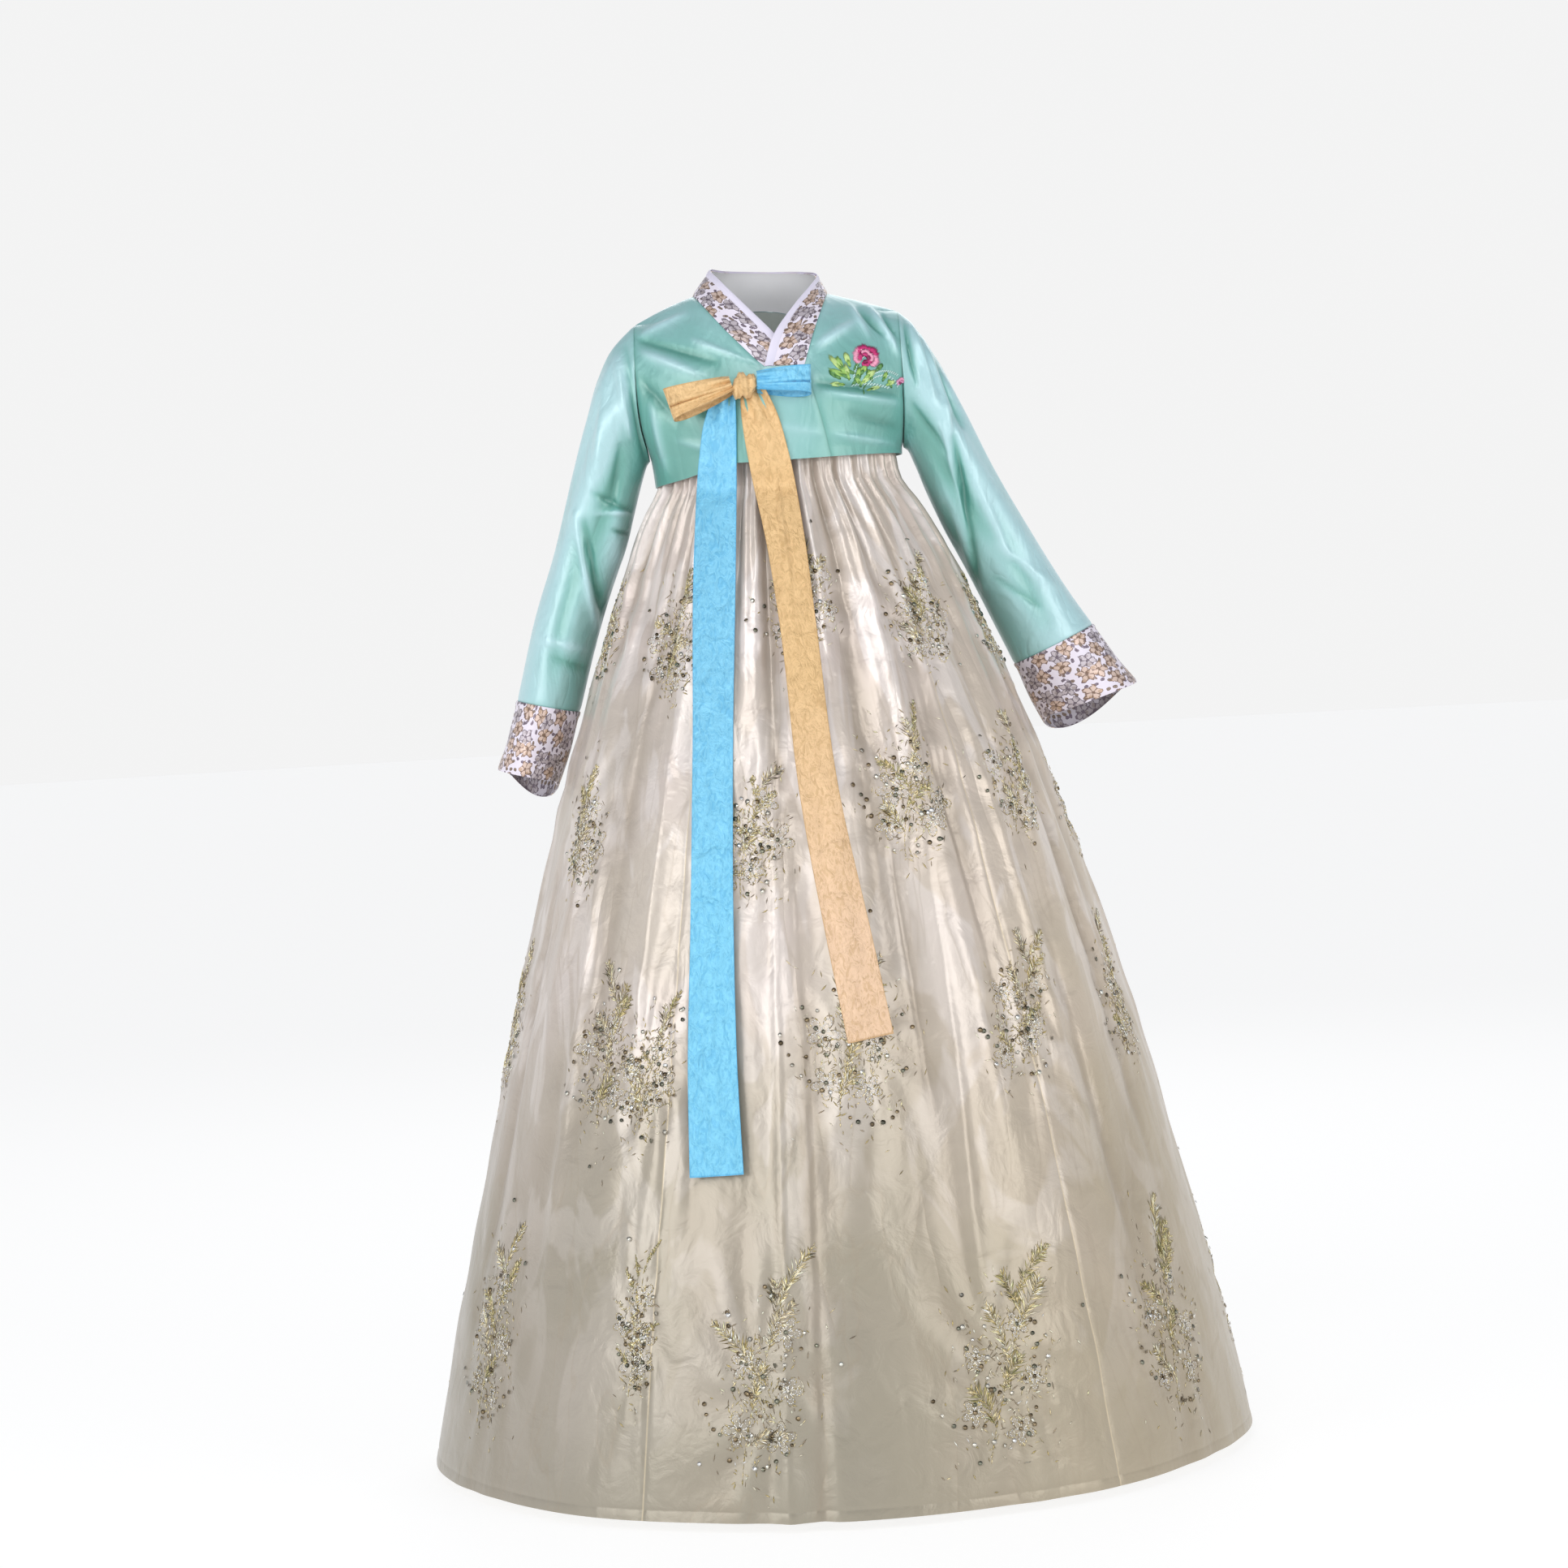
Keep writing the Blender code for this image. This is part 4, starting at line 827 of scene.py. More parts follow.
def body_grid(face, side, inner_x, hem, shares, columns, top=None):
    """X and height between an inner edge and the armhole, and from the hem to the ridge or a lower top. Rows
    above the dome's start go with the sine of their share, and so do the columns towards the armhole."""
    share = shares[:, None] + np.zeros((1, columns))
    across = np.linspace(0, 1, columns)[None, :] + np.zeros((len(shares), 1))
    start = DOME_START[face]
    x = side * np.abs(inner_x(np.full_like(share, start)))
    for _ in range(30):
        ridge = ridge_height(x)
        peak = ridge if top is None else top(x)
        last = np.arcsin(np.clip((peak - start) / (ridge - start), 0, 1))
        below = read_table(hem, x)[0]
        climb = np.clip((share - ARMHOLE_SHARE) / (1 - ARMHOLE_SHARE), 0, 1)
        height = np.where(share < ARMHOLE_SHARE, below + (start - below) * share / ARMHOLE_SHARE,
                          start + (ridge - start) * np.sin(climb * last))
        half = side * armhole_x(side, height)
        first = np.arcsin(np.clip(inner_x(height) / half, -1, 1))
        x = half * np.sin(first + (math.pi / 2 - first) * across)
    return x, height


def back_neckline(x):
    """The ridge less a round dip."""
    half = np.where(x > 0, BACK_NECK_HALF[LEFT], BACK_NECK_HALF[RIGHT])
    return ridge_height(x) - BACK_NECK_DROP * np.sqrt(np.maximum(1 - (x / half) ** 2, 0))


def outer_edge(height):
    """The outer front's seam: beside the overlap panel, and above the collar's end beside the collar."""
    return np.where(height < COLLAR_END, read_table(PANEL_SEAM, height)[0], read_table(OUTER_NECK, height)[0])


def jacket_satin():
    """Mint satin: painted shade that turns it green in the troughs and painted highlight that turns it paler
    and bluer on the folds that stand out, soft clouds, a broad gloss with a cool sheen, thin creases from
    folded noise, dents of handling, and a fine weave."""
    made = new_finish("jacket satin", 0.42, {"Metallic": 0.10, "Sheen Weight": 0.35, "Sheen Roughness": 0.42,
                                             "Sheen Tint": (0.76, 0.93, 1.0, 1), "Specular IOR Level": 0.8,
                                             "Coat Weight": 0.50, "Coat Roughness": 0.29, "Coat IOR": 1.7,
                                             "Coat Tint": (0.92, 0.98, 1.0, 1)})
    place = place_of(made)
    clouds = noise_of(made, place, 9.0, 3.0)
    rise = measure_of(made, "rise")
    # painted shade and highlight: the tone runs from green in the troughs to paler and bluer on raised folds
    painted_fold_light = between(made, rise, -0.0055, 0.0055, -0.2, 0.8)
    painted_light_level = math_of(made, "ADD", painted_fold_light, times(made, clouds, 0.4))
    tone = ramp_of(made, painted_light_level, [(0.08, (0.070, 0.265, 0.215)), (0.38, (0.135, 0.385, 0.330)),
                                 (0.58, (0.240, 0.500, 0.475)), (0.90, (0.440, 0.670, 0.700))])
    near = measure_of(made, "seam")
    line = between(made, near, 0.0004, 0.0016, 0.45, 0.0)
    wire(made, "Base Color", mix_of(made, line, tone, (0.07, 0.24, 0.20)))
    drawn = node(made, "ShaderNodeMapping", {"Vector": place, "Rotation": (0.0, 0.6, 0.0),
                                             "Scale": (1.0, 1.0, 0.45)})
    drags = noise_of(made, drawn, 22.0, 3.0, 0.6)
    creased = folded_of(made, drags)
    dents = noise_of(made, place, 60.0, 3.0, 0.8)
    weave = noise_of(made, place, 1000.0, 1.0)
    relief(made, [(creased, 0.60, 0.012), (dents, 0.30, 0.0024), (weave, 0.08, 0.0004)])
    return made


JACKET_SATIN = jacket_satin()
JACKET_LINING = plain_lining("jacket lining", (0.66, 0.74, 0.72))


def painted_body_light(x, height):
    """Painted light and shade on the body: how far the satin's tone turns paler, from the hem up to the
    shoulders, and as a bell in the middle.
    """
    return BODY_PAINTED_LIGHT * (np.clip((height - 1.325) / 0.06, -1, 1) + 1.5 * np.exp(-((x - 0.015) / 0.045) ** 2))


def body_piece(name, node_name, x, height, face, lift, away):
    """A shell of the body with its creases and, towards its sewn edges, a dip of the seam."""
    base = np.stack([x, body_y(x, height, face, lift), height - SHOULDER_HEIGHT], -1)
    normals = facing(base)
    normals = normals * np.sign(np.sum(normals * np.array([0, face, 0.3]), -1, keepdims=True).mean())
    table = FRONT_CREASES if face == FRONT else BACK_CREASES
    edge = np.clip(away / 0.012, 0.25, 1)
    moved = creases(table, x, height) * edge - JACKET_SEAM_DIP * np.exp(-(away / 0.0028) ** 2)
    outer = base + normals * moved[..., None]
    # painted light and shade: the rise handed to the satin adds a tone that is darker low down and paler up
    # high and in the middle
    piece = cloth(name, outer, normals, JACKET_CLOTH, np.stack([x, height], -1), JACKET_SATIN, JACKET_LINING,
                  seam=away, rise=moved + painted_body_light(x, height))
    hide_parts(node_name)


climb = float(ridge_height(PANEL_SEAM[-1][1])) - DOME_START[FRONT]
corner = math.asin((COLLAR_END - DOME_START[FRONT]) / climb)
corner = ARMHOLE_SHARE + (1 - ARMHOLE_SHARE) * corner / (math.pi / 2)
shares = np.concatenate([np.linspace(0, corner, 40), np.linspace(corner, 1, 50)[1:]])
x, height = body_grid(FRONT, LEFT, outer_edge, OUTER_HEM, shares, 70)
body_piece("outer_front", "jacket_front_left", x, height, FRONT, LAYER_LIFT,
           np.minimum(np.abs(x - x[:, :1]), np.abs(x - x[:, -1:])))
shares = np.linspace(0, 1, 90)
x, height = body_grid(FRONT, RIGHT, lambda z: read_table(UNDER_NECK, z)[0], UNDER_HEM, shares, 84)
body_piece("under_front", "jacket_front_right", x, height, FRONT, 0.0,
           np.minimum(np.abs(x - x[:, :1]), np.abs(x - x[:, -1:])))
for side, name in ((LEFT, "left"), (RIGHT, "right")):
    x, height = body_grid(BACK, side, lambda z: 0 * z, BACK_HEM, shares, 60, top=back_neckline)
    body_piece("back_" + name, "jacket_back_" + name, x, height, BACK, 0.0,
               np.minimum(np.abs(x), np.abs(x - x[:, -1:])))

share = np.linspace(0, 1, 60)[:, None] + np.zeros((1, 50))
across = np.linspace(0, 1, 50)[None, :] + np.zeros((60, 1))
x = np.zeros_like(share)
for _ in range(30):
    below = read_table(OUTER_HEM, x)[0]
    height = below + (COLLAR_END - below) * share
    free = read_table(FREE_EDGE, height)[0]
    x = free + (read_table(PANEL_SEAM, height)[0] - free) * across
body_piece("overlap_panel", "jacket_overlap_panel", x, height, FRONT, LAYER_LIFT, np.abs(x - x[:, -1:]))

# Collar. One straight band of white floral brocade over a stiff core, sewn round the neck with its outer end
# on top, and a narrow strip of white cotton basted inside its neck edge, which shows as a pale line.

BROCADE, STRIP = 0.0018, 0.0010
NECK_EDGE = (  # place along the collar from its outer to its under end, X, Y and height of the neck edge
    (0.00, -0.0095, -0.1215, 1.3115),
    (0.10, 0.0050, -0.1070, 1.3520),
    (0.18, 0.0310, -0.0740, 1.3880),
    (0.24, 0.0500, -0.0380, 1.4110),
    (0.30, 0.0590, 0.0040, 1.4255),
    (0.40, 0.0420, 0.0520, 1.4350),
    (0.50, -0.0040, 0.0680, 1.4390),
    (0.60, -0.0510, 0.0540, 1.4410),
    (0.70, -0.0710, 0.0060, 1.4390),
    (0.77, -0.0600, -0.0370, 1.4230),
    (0.84, -0.0350, -0.0720, 1.3930),
    (0.92, 0.0000, -0.0985, 1.3530),
    (1.00, 0.0230, -0.1115, 1.3240),
)
RIDGE_PLACES = (0.30, 0.70)
UNDER_END = 1.3075
COLLAR_LENGTH, COLLAR_WIDTH = 0.56, 0.047   # metres of UV
COLLAR_CROWN = 0.0016     # how far the band swells between its edges


def front_climb(low, high, share):
    """Heights from a lower end up to the ridge, closer together near it, as the sine of the share."""
    start = DOME_START[FRONT]
    first = np.arcsin((low - start) / (high - start))
    return start + (high - start) * np.sin(first + (math.pi / 2 - first) * share)


def collar_seam(place):
    """The collar's lower edge: down both fronts along the neck lines, and round the back neckline."""
    out, under = RIDGE_PLACES
    outer_z = front_climb(COLLAR_END, ridge_height(BACK_NECK_HALF[LEFT]), np.clip(place / out, 0, 1))
    under_z = front_climb(UNDER_END, ridge_height(-BACK_NECK_HALF[RIGHT]),
                          np.clip((1 - place) / (1 - under), 0, 1))
    turn = np.clip((place - out) / (under - out), 0, 1)
    middle = (BACK_NECK_HALF[LEFT] - BACK_NECK_HALF[RIGHT]) / 2
    half = (BACK_NECK_HALF[LEFT] + BACK_NECK_HALF[RIGHT]) / 2
    back_x = middle + half * np.cos(math.pi * turn)
    outer_x, under_x = read_table(OUTER_NECK, outer_z)[0], read_table(UNDER_NECK, under_z)[0]
    x = np.where(place < out, outer_x, np.where(place > under, under_x, back_x))
    z = np.where(place < out, outer_z, np.where(place > under, under_z, back_neckline(back_x)))
    y = np.where(place < out, body_y(outer_x, outer_z, FRONT, LAYER_LIFT),
                 np.where(place > under, body_y(under_x, under_z, FRONT), body_y(back_x, z, BACK)))
    return np.stack([x, y, z], -1)


def collar_surface(place, across):
    """Straight from the seam, across 0, to the neck edge, across 1."""
    neck = np.moveaxis(read_table(NECK_EDGE, place), 0, -1)
    points = collar_seam(place) * (1 - across[..., None]) + neck * across[..., None]
    return points - np.array([0, 0, SHOULDER_HEIGHT])


def brocade(name, shade, gloss):
    """White brocade with scattered flowers, in metres of its own UV. Coarse cells place the large flowers:
    five lobes round each cell's middle, filled with a pale tone, with a dark rim, dark lines between the
    petals and a dark eye. Finer cells place small sprigs of two or three lobes between them. Fine noise frays
    both into threads, which are shinier than the ground."""
    made = new_finish(name, gloss, {"Sheen Weight": 0.1, "Specular IOR Level": 0.6})
    place = place_of(made, "UV")
    fray = noise_of(made, place, 240.0, 2.0)
    ground = tuple(value * shade for value in (0.80, 0.74, 0.84))
    tone, threads = ground, None
    for scale, lobes, outer, rim, pale, dark in (
            (100.0, 2.0, 0.27, 0.15, ((0.34, 0.26, 0.34), (0.42, 0.30, 0.20)),
             ((0.09, 0.06, 0.09), (0.13, 0.08, 0.05))),
            (43.0, 5.0, 0.45, 0.10, ((0.66, 0.46, 0.32), (0.48, 0.42, 0.44)),
             ((0.15, 0.08, 0.05), (0.10, 0.07, 0.10)))):
        flat = drawn_out(made, place, (scale, scale, 0))
        cell = node(made, "ShaderNodeTexVoronoi", {"Vector": flat, "Scale": 1.0, "Randomness": 0.8},
                    out="Position", voronoi_dimensions="2D")
        pick = node(made, "ShaderNodeSeparateColor", {0: cell.node.outputs["Color"]})
        local = node(made, "ShaderNodeVectorMath", {0: flat, 1: cell}, operation="SUBTRACT")
        right = node(made, "ShaderNodeSeparateXYZ", {0: local}, out=0)
        distance = node(made, "ShaderNodeVectorMath", {0: local}, out=1, operation="LENGTH")
        turn = math_of(made, "ARCTAN2", right.node.outputs[1], right)
        wave = math_of(made, "ADD", times(made, turn, lobes), times(made, pick, 6.0))
        reach = math_of(made, "ADD", times(made, math_of(made, "SINE", wave), 0.20), 1.0)
        frayed = times(made, math_of(made, "SUBTRACT", fray, 0.5), 0.42)
        lobed = math_of(made, "ADD", math_of(made, "DIVIDE", distance, reach), frayed)
        inside = between(made, lobed, outer - 0.03, outer, 1.0, 0.0)
        edge = between(made, lobed, outer - rim, outer - rim + 0.03, 0.0, 1.0)
        eye = between(made, lobed, 0.09, 0.12, 1.0, 0.0)
        vein = between(made, math_of(made, "SINE", wave), -0.92, -0.70, 1.0, 0.0)
        lines = math_of(made, "MAXIMUM", math_of(made, "MAXIMUM", edge, vein), eye)
        drawn = times(made, inside, lines)
        kind = between(made, pick.node.outputs[1], 0.48, 0.52, 0.0, 1.0)
        fill = mix_of(made, kind, *(tuple(value * shade for value in colour) for colour in pale))
        tone = mix_of(made, times(made, inside, 0.72), tone, fill)
        tone = mix_of(made, times(made, drawn, 0.86), tone, mix_of(made, kind, *dark))
        threads = inside if threads is None else math_of(made, "MAXIMUM", threads, inside)
    wire(made, "Base Color", tone)
    wire(made, "Metallic", times(made, threads, 0.35))
    weave = noise_of(made, place, 1100.0, 1.0)
    relief(made, [(threads, 0.3, 0.0006), (weave, 0.25, 0.0004)])
    return made


FLORAL_BROCADE = brocade("floral brocade", 1.0, 0.42)
BROCADE_BACK = brocade("brocade reverse", 0.62, 0.60)
COLLAR_CORE = plain_lining("collar facing", (0.74, 0.74, 0.76))
STRIP_COTTON = plain_lining("strip cotton", (0.78, 0.74, 0.88), 0.55)
place = np.concatenate([np.linspace(0, RIDGE_PLACES[0], 80), np.linspace(*RIDGE_PLACES, 90)[1:],
                        np.linspace(RIDGE_PLACES[1], 1, 80)[1:]])
place = place[None, :] + np.zeros((15, 1))
across = np.concatenate([[0, 0.02, 0.06], np.linspace(0.12, 0.90, 9), [0.94, 0.98, 1.0]])
across = across[:, None] + 0 * place[:1]
base = collar_surface(place, across)
normals = facing(base)
crown = COLLAR_CROWN * (1 - (2 * across - 1) ** 6)
outer = base + normals * crown[..., None]
uv = np.stack([place * COLLAR_LENGTH, across * COLLAR_WIDTH], -1)
collar = cloth("collar_band", outer, normals, BROCADE, uv, FLORAL_BROCADE, COLLAR_CORE)
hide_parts("collar")

rows = np.array([0.81, 0.83, 0.92, 0.99, 1.03, 1.04])[:, None]
place = place[:6]
across = rows + 0 * place
base = collar_surface(place, across)
normals = facing(base)
puffed = BROCADE * 0.9 + 0.0009 * np.sin(math.pi * (rows - 0.81) / 0.23) ** 0.5
outer = base + normals * puffed[..., None]
uv = np.stack([place * COLLAR_LENGTH, across * COLLAR_WIDTH], -1)
strip = cloth("neck_strip", outer, normals, STRIP, uv, STRIP_COTTON, STRIP_COTTON)
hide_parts("collar_strip")

# Sleeves. Wide one-piece tubes of mint satin, set on straight armholes and sewn up under the arm. They hang
# in long diagonal folds from the shoulder, and bunch a little at the elbow.

SLEEVE_SECTIONS = {  # place, outer X and height, inner X and height, middle along Y, half depth
    LEFT: (
        (0.00, 0.1563, 1.3780, 0.1563, 1.2120, 0.000, 0.062),
        (0.08, 0.1750, 1.3590, 0.1610, 1.2050, 0.002, 0.064),
        (0.18, 0.2010, 1.3180, 0.1680, 1.1880, 0.006, 0.065),
        (0.34, 0.2290, 1.2580, 0.1800, 1.1560, 0.012, 0.066),
        (0.50, 0.2620, 1.1850, 0.1985, 1.1110, 0.020, 0.065),
        (0.68, 0.3030, 1.1080, 0.2250, 1.0570, 0.030, 0.063),
        (0.85, 0.3460, 1.0320, 0.2570, 0.9870, 0.038, 0.062),
        (1.00, 0.3785, 0.9820, 0.2790, 0.9380, 0.043, 0.060),
        (1.20, 0.4310, 0.9080, 0.3080, 0.8690, 0.046, 0.059),
    ),
    RIGHT: (
        (0.00, 0.1683, 1.3780, 0.1573, 1.2120, 0.000, 0.062),
        (0.08, 0.1960, 1.3510, 0.1620, 1.2050, 0.002, 0.064),
        (0.18, 0.2160, 1.3150, 0.1690, 1.1860, 0.006, 0.065),
        (0.32, 0.2340, 1.2620, 0.1790, 1.1540, 0.012, 0.065),
        (0.50, 0.2570, 1.1900, 0.1930, 1.1080, 0.020, 0.063),
        (0.68, 0.2830, 1.1050, 0.2140, 1.0580, 0.028, 0.061),
        (0.85, 0.3130, 1.0220, 0.2400, 0.9840, 0.034, 0.059),
        (1.00, 0.3400, 0.9260, 0.2630, 0.9080, 0.040, 0.057),
        (1.20, 0.3700, 0.8420, 0.2930, 0.8230, 0.044, 0.056),
    ),
}
CUFF_START, CUFF_END = 1.0, 1.2
SLEEVE_GIRTH, SLEEVE_LENGTH = 0.36, 0.46   # metres of UV once round the arm and from shoulder to cuff
SLEEVE_FOLDS = (  # angle and place where a fold is highest, its turn per place, width, length, height
    (-70, 0.30, 60, 16, 0.30, 0.007),
    (-105, 0.42, 50, 15, 0.26, -0.006),
    (-35, 0.24, 70, 14, 0.22, 0.005),
    (-135, 0.55, -60, 18, 0.16, 0.006),
    (-80, 0.78, -40, 16, 0.20, -0.005),
    (80, 0.32, -50, 18, 0.28, 0.006),
    (125, 0.50, 40, 18, 0.22, -0.005),
    (60, 0.62, -60, 12, 0.20, 0.004),
    (105, 0.78, -50, 10, 0.14, 0.004),
    (40, 0.22, -60, 9, 0.16, -0.004),
    (140, 0.30, 50, 9, 0.12, 0.004),
)
SLEEVE_CREASES = {  # as the front creases, distance from the middle and height; seen from the front
    LEFT: (
        (0.161, 1.372, 0.172, 1.285, 0.0060, -0.0070),
        (0.168, 1.370, 0.192, 1.270, 0.0055, 0.0060),
        (0.176, 1.360, 0.202, 1.262, 0.0045, -0.0050),
        (0.182, 1.345, 0.214, 1.225, 0.0060, 0.0065),
        (0.192, 1.340, 0.226, 1.232, 0.0050, -0.0055),
        (0.213, 1.245, 0.236, 1.030, 0.0075, -0.0075),
        (0.200, 1.235, 0.228, 1.095, 0.0055, 0.0045),
        (0.160, 1.222, 0.186, 1.120, 0.0055, 0.0050),
        (0.164, 1.200, 0.190, 1.095, 0.0050, -0.0045),
        (0.200, 1.135, 0.226, 1.040, 0.0070, -0.0040),
        (0.165, 1.260, 0.205, 1.200, 0.0055, -0.0040),
        (0.256, 1.045, 0.310, 1.008, 0.0060, -0.0030),
        (0.262, 1.085, 0.330, 1.030, 0.0090, 0.0030),
        (0.240, 1.160, 0.275, 1.070, 0.0090, 0.0040),
    ),
    RIGHT: (
        (0.178, 1.350, 0.162, 1.210, 0.0060, -0.0055),
        (0.190, 1.335, 0.178, 1.240, 0.0070, 0.0045),
        (0.228, 1.175, 0.172, 1.143, 0.0055, -0.0045),
        (0.226, 1.150, 0.184, 1.149, 0.0050, 0.0045),
        (0.206, 1.128, 0.172, 1.118, 0.0050, -0.0050),
        (0.242, 1.140, 0.218, 0.985, 0.0075, -0.0075),
        (0.252, 1.150, 0.234, 1.000, 0.0065, 0.0050),
        (0.200, 1.100, 0.212, 1.030, 0.0060, 0.0035),
        (0.292, 0.978, 0.236, 0.955, 0.0080, -0.0035),
        (0.300, 1.000, 0.250, 0.985, 0.0080, 0.0030),
        (0.205, 1.300, 0.222, 1.200, 0.0090, 0.0045),
        (0.190, 1.230, 0.208, 1.150, 0.0070, -0.0035),
    ),
}


def sleeve_folds(angle, place):
    """Long soft ridges and troughs that turn round the arm, each a bell across times a bell along."""
    out = np.zeros(np.broadcast(angle, place).shape)
    for degrees, middle, turn, width, length, rise in SLEEVE_FOLDS:
        crest = math.radians(degrees) + math.radians(turn) * (place - middle)
        aside = around(angle, crest) / math.radians(width)
        out = out + rise * np.exp(-aside ** 2 - ((place - middle) / length) ** 2)
    return out * np.clip(place / 0.12, 0, 1) * np.clip((CUFF_START - place) / 0.08, 0, 1)


def sleeve_surface(side, angle, place):
    """An oval between the outer and the inner line at each place, angle 0 outside and -90 at the front. At
    the armhole it is bent to the armhole's own line, and the bend fades along the arm."""
    outer_x, outer_z, inner_x, inner_z, middle_y, half_depth = read_table(SLEEVE_SECTIONS[side], place)
    reach = np.stack([(outer_x - inner_x) / 2, 0 * outer_x, (outer_z - inner_z) / 2], -1)
    middle = np.stack([(outer_x + inner_x) / 2, middle_y, (outer_z + inner_z) / 2], -1)
    size = np.linalg.norm(reach, axis=-1)
    out = sleeve_folds(angle, place)
    points = middle + (reach * (1 + out / size)[..., None]) * np.cos(angle)[..., None]
    points[..., 1] += (half_depth + out) * np.sin(angle)
    bend = armhole_x(side, points[..., 2])
    first = read_table(SLEEVE_SECTIONS[side], 0 * place)
    straight = (first[0] + first[2]) / 2 + (first[0] - first[2]) / 2 * np.cos(angle)
    points[..., 0] += (bend - straight) * np.clip(1 - place / 0.06, 0, 1)
    points[..., 0] *= side
    points[..., 2] -= SHOULDER_HEIGHT
    return points


def tube_of(side, places, columns):
    """A closed grid round the arm, its outward normals, and its UV in metres with one column more."""
    angle = np.linspace(-math.pi, math.pi, columns, endpoint=False)[None, :] + np.zeros((len(places), 1))
    place = places[:, None] + np.zeros((1, columns))
    points = sleeve_surface(side, angle, place)
    turn = np.linspace(0, 1, columns + 1)[None, :] + np.zeros((len(places), 1))
    uv = np.stack([turn * SLEEVE_GIRTH, places[:, None] * SLEEVE_LENGTH + 0 * turn], -1)
    return points, -side * facing(points, True), angle, place, uv


for side, name in ((LEFT, "left"), (RIGHT, "right")):
    places = np.linspace(0.028, 0.975, 124)
    places = np.concatenate([[0, 0.004, 0.010, 0.018], places, [0.985, 0.992, 0.997, 1.0]])
    points, normals, angle, place, uv = tube_of(side, places, 136)
    table = SLEEVE_CREASES[side]
    front = np.clip(-1.6 * np.sin(angle), 0, 1)
    behind = np.clip(1.6 * np.sin(angle), 0, 1)
    reach, height = side * points[..., 0], points[..., 2] + SHOULDER_HEIGHT
    moved = creases(table, reach, height) * front
    moved = moved + creases(table, reach - 0.006, height + 0.012) * behind * 0.8
    moved = moved * np.clip(place / 0.05, 0.15, 1) * np.clip((1 - place) / 0.05, 0, 1)
    away = np.minimum(place, 1 - place) * SLEEVE_LENGTH
    moved = moved - JACKET_SEAM_DIP * np.exp(-(away / 0.0030) ** 2)
    outer = points + normals * moved[..., None]
    # painted light and shade: the tone turns paler on the outer front, on raised folds and down the forearm,
    # and darker under the arm
    painted_sleeve_light = sleeve_folds(angle, place) * 0.6 + 0.0030 * np.cos(angle + 0.7)
    painted_sleeve_light = painted_sleeve_light + 0.0016 * np.clip(place / 0.4 - 1, 0, 1)
    sleeve = cloth("sleeve_tube_" + name, outer, facing(outer, True) * -side, JACKET_CLOTH, uv, JACKET_SATIN,
                   JACKET_LINING, True, seam=away, rise=moved + painted_sleeve_light)
    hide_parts("sleeve_" + name + "_upper_arm", "sleeve_" + name + "_forearm")

# Cuffs. Turned-back bands of the collar's brocade, sewn to the sleeve ends, a little stiffer than the satin.
# The reverse of the brocade is greyer and shows inside the mouth, which hangs lower behind.

CUFF_HANG = 0.026         # how far the mouth hangs lower behind
CUFF_ROLL = 0.0012        # how far the sewn edge stands out and the mouth's edge turns in
CUFF_DENT = 0.0018
for side, name in ((LEFT, "left"), (RIGHT, "right")):
    places = np.linspace(1.016, 1.188, 24)
    places = np.concatenate([[CUFF_START, 1.003, 1.008], places, [1.194, 1.198, CUFF_END]])
    points, normals, angle, place, uv = tube_of(side, places, 112)
    rolled = CUFF_ROLL * np.exp(-((place - 1.006) / 0.006) ** 2)
    rolled = rolled - CUFF_ROLL * np.exp(-((CUFF_END - place) / 0.004) ** 2)
    down = (place - CUFF_START) / (CUFF_END - CUFF_START)
    dented = CUFF_DENT * np.cos(3 * angle + 14 * place) * np.sin(math.pi * down)
    along = unit(points[-1].mean(0) - points[0].mean(0))
    hang = CUFF_HANG * np.clip(np.sin(angle - 0.5), 0, 1) ** 1.5 * down
    outer = points + normals * (rolled + dented)[..., None] + along * hang[..., None]
    cuff = cloth("cuff_band_" + name, outer, normals, BROCADE, uv, FLORAL_BROCADE, BROCADE_BACK, True)
    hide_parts("cuff_" + name)

# Bow. Two crinkled satin ribbons, blue and gold, sewn to the fronts and tied once on the breast: a knot, a
# loop to each side, and two long tails that hang over the skirt and end in a plain turned edge.

RIBBON, RIBBON_CLEAR, SKIRT_CLEAR = 0.0010, 0.0010, 0.0077
RIBBON_CLOTH = RIBBON * 0.8
TAILS = {  # height, X of the middle, width
    "blue": (
        (0.381, -0.1160, 0.0620),
        (0.500, -0.1145, 0.0570),
        (0.660, -0.1070, 0.0500),
        (0.860, -0.0960, 0.0475),
        (1.100, -0.0815, 0.0500),
        (1.204, -0.0730, 0.0450),
        (1.244, -0.0680, 0.0390),
        (1.292, -0.0565, 0.0190),
    ),
    "gold": (
        (0.526, 0.0680, 0.0530),
        (0.640, 0.0500, 0.0520),
        (0.800, 0.0260, 0.0460),
        (1.011, 0.0110, 0.0430),
        (1.100, 0.0030, 0.0460),
        (1.204, -0.0120, 0.0490),
        (1.250, -0.0200, 0.0430),
        (1.290, -0.0280, 0.0270),
    ),
}
KNOT_CENTRE, KNOT_CLEAR, KNOT_HALF = (-0.0360, 1.2890), 0.0012, (0.0150, 0.0085, 0.0145)
LOOPS = {  # start X and height at the knot, end X and height, width at the knot and at the end
    "blue": (-0.0210, 1.2925, 0.0430, 1.2905, 0.0210, 0.0390),
    "gold": (-0.0517, 1.2905, -0.1265, 1.2690, 0.0170, 0.0450),
}


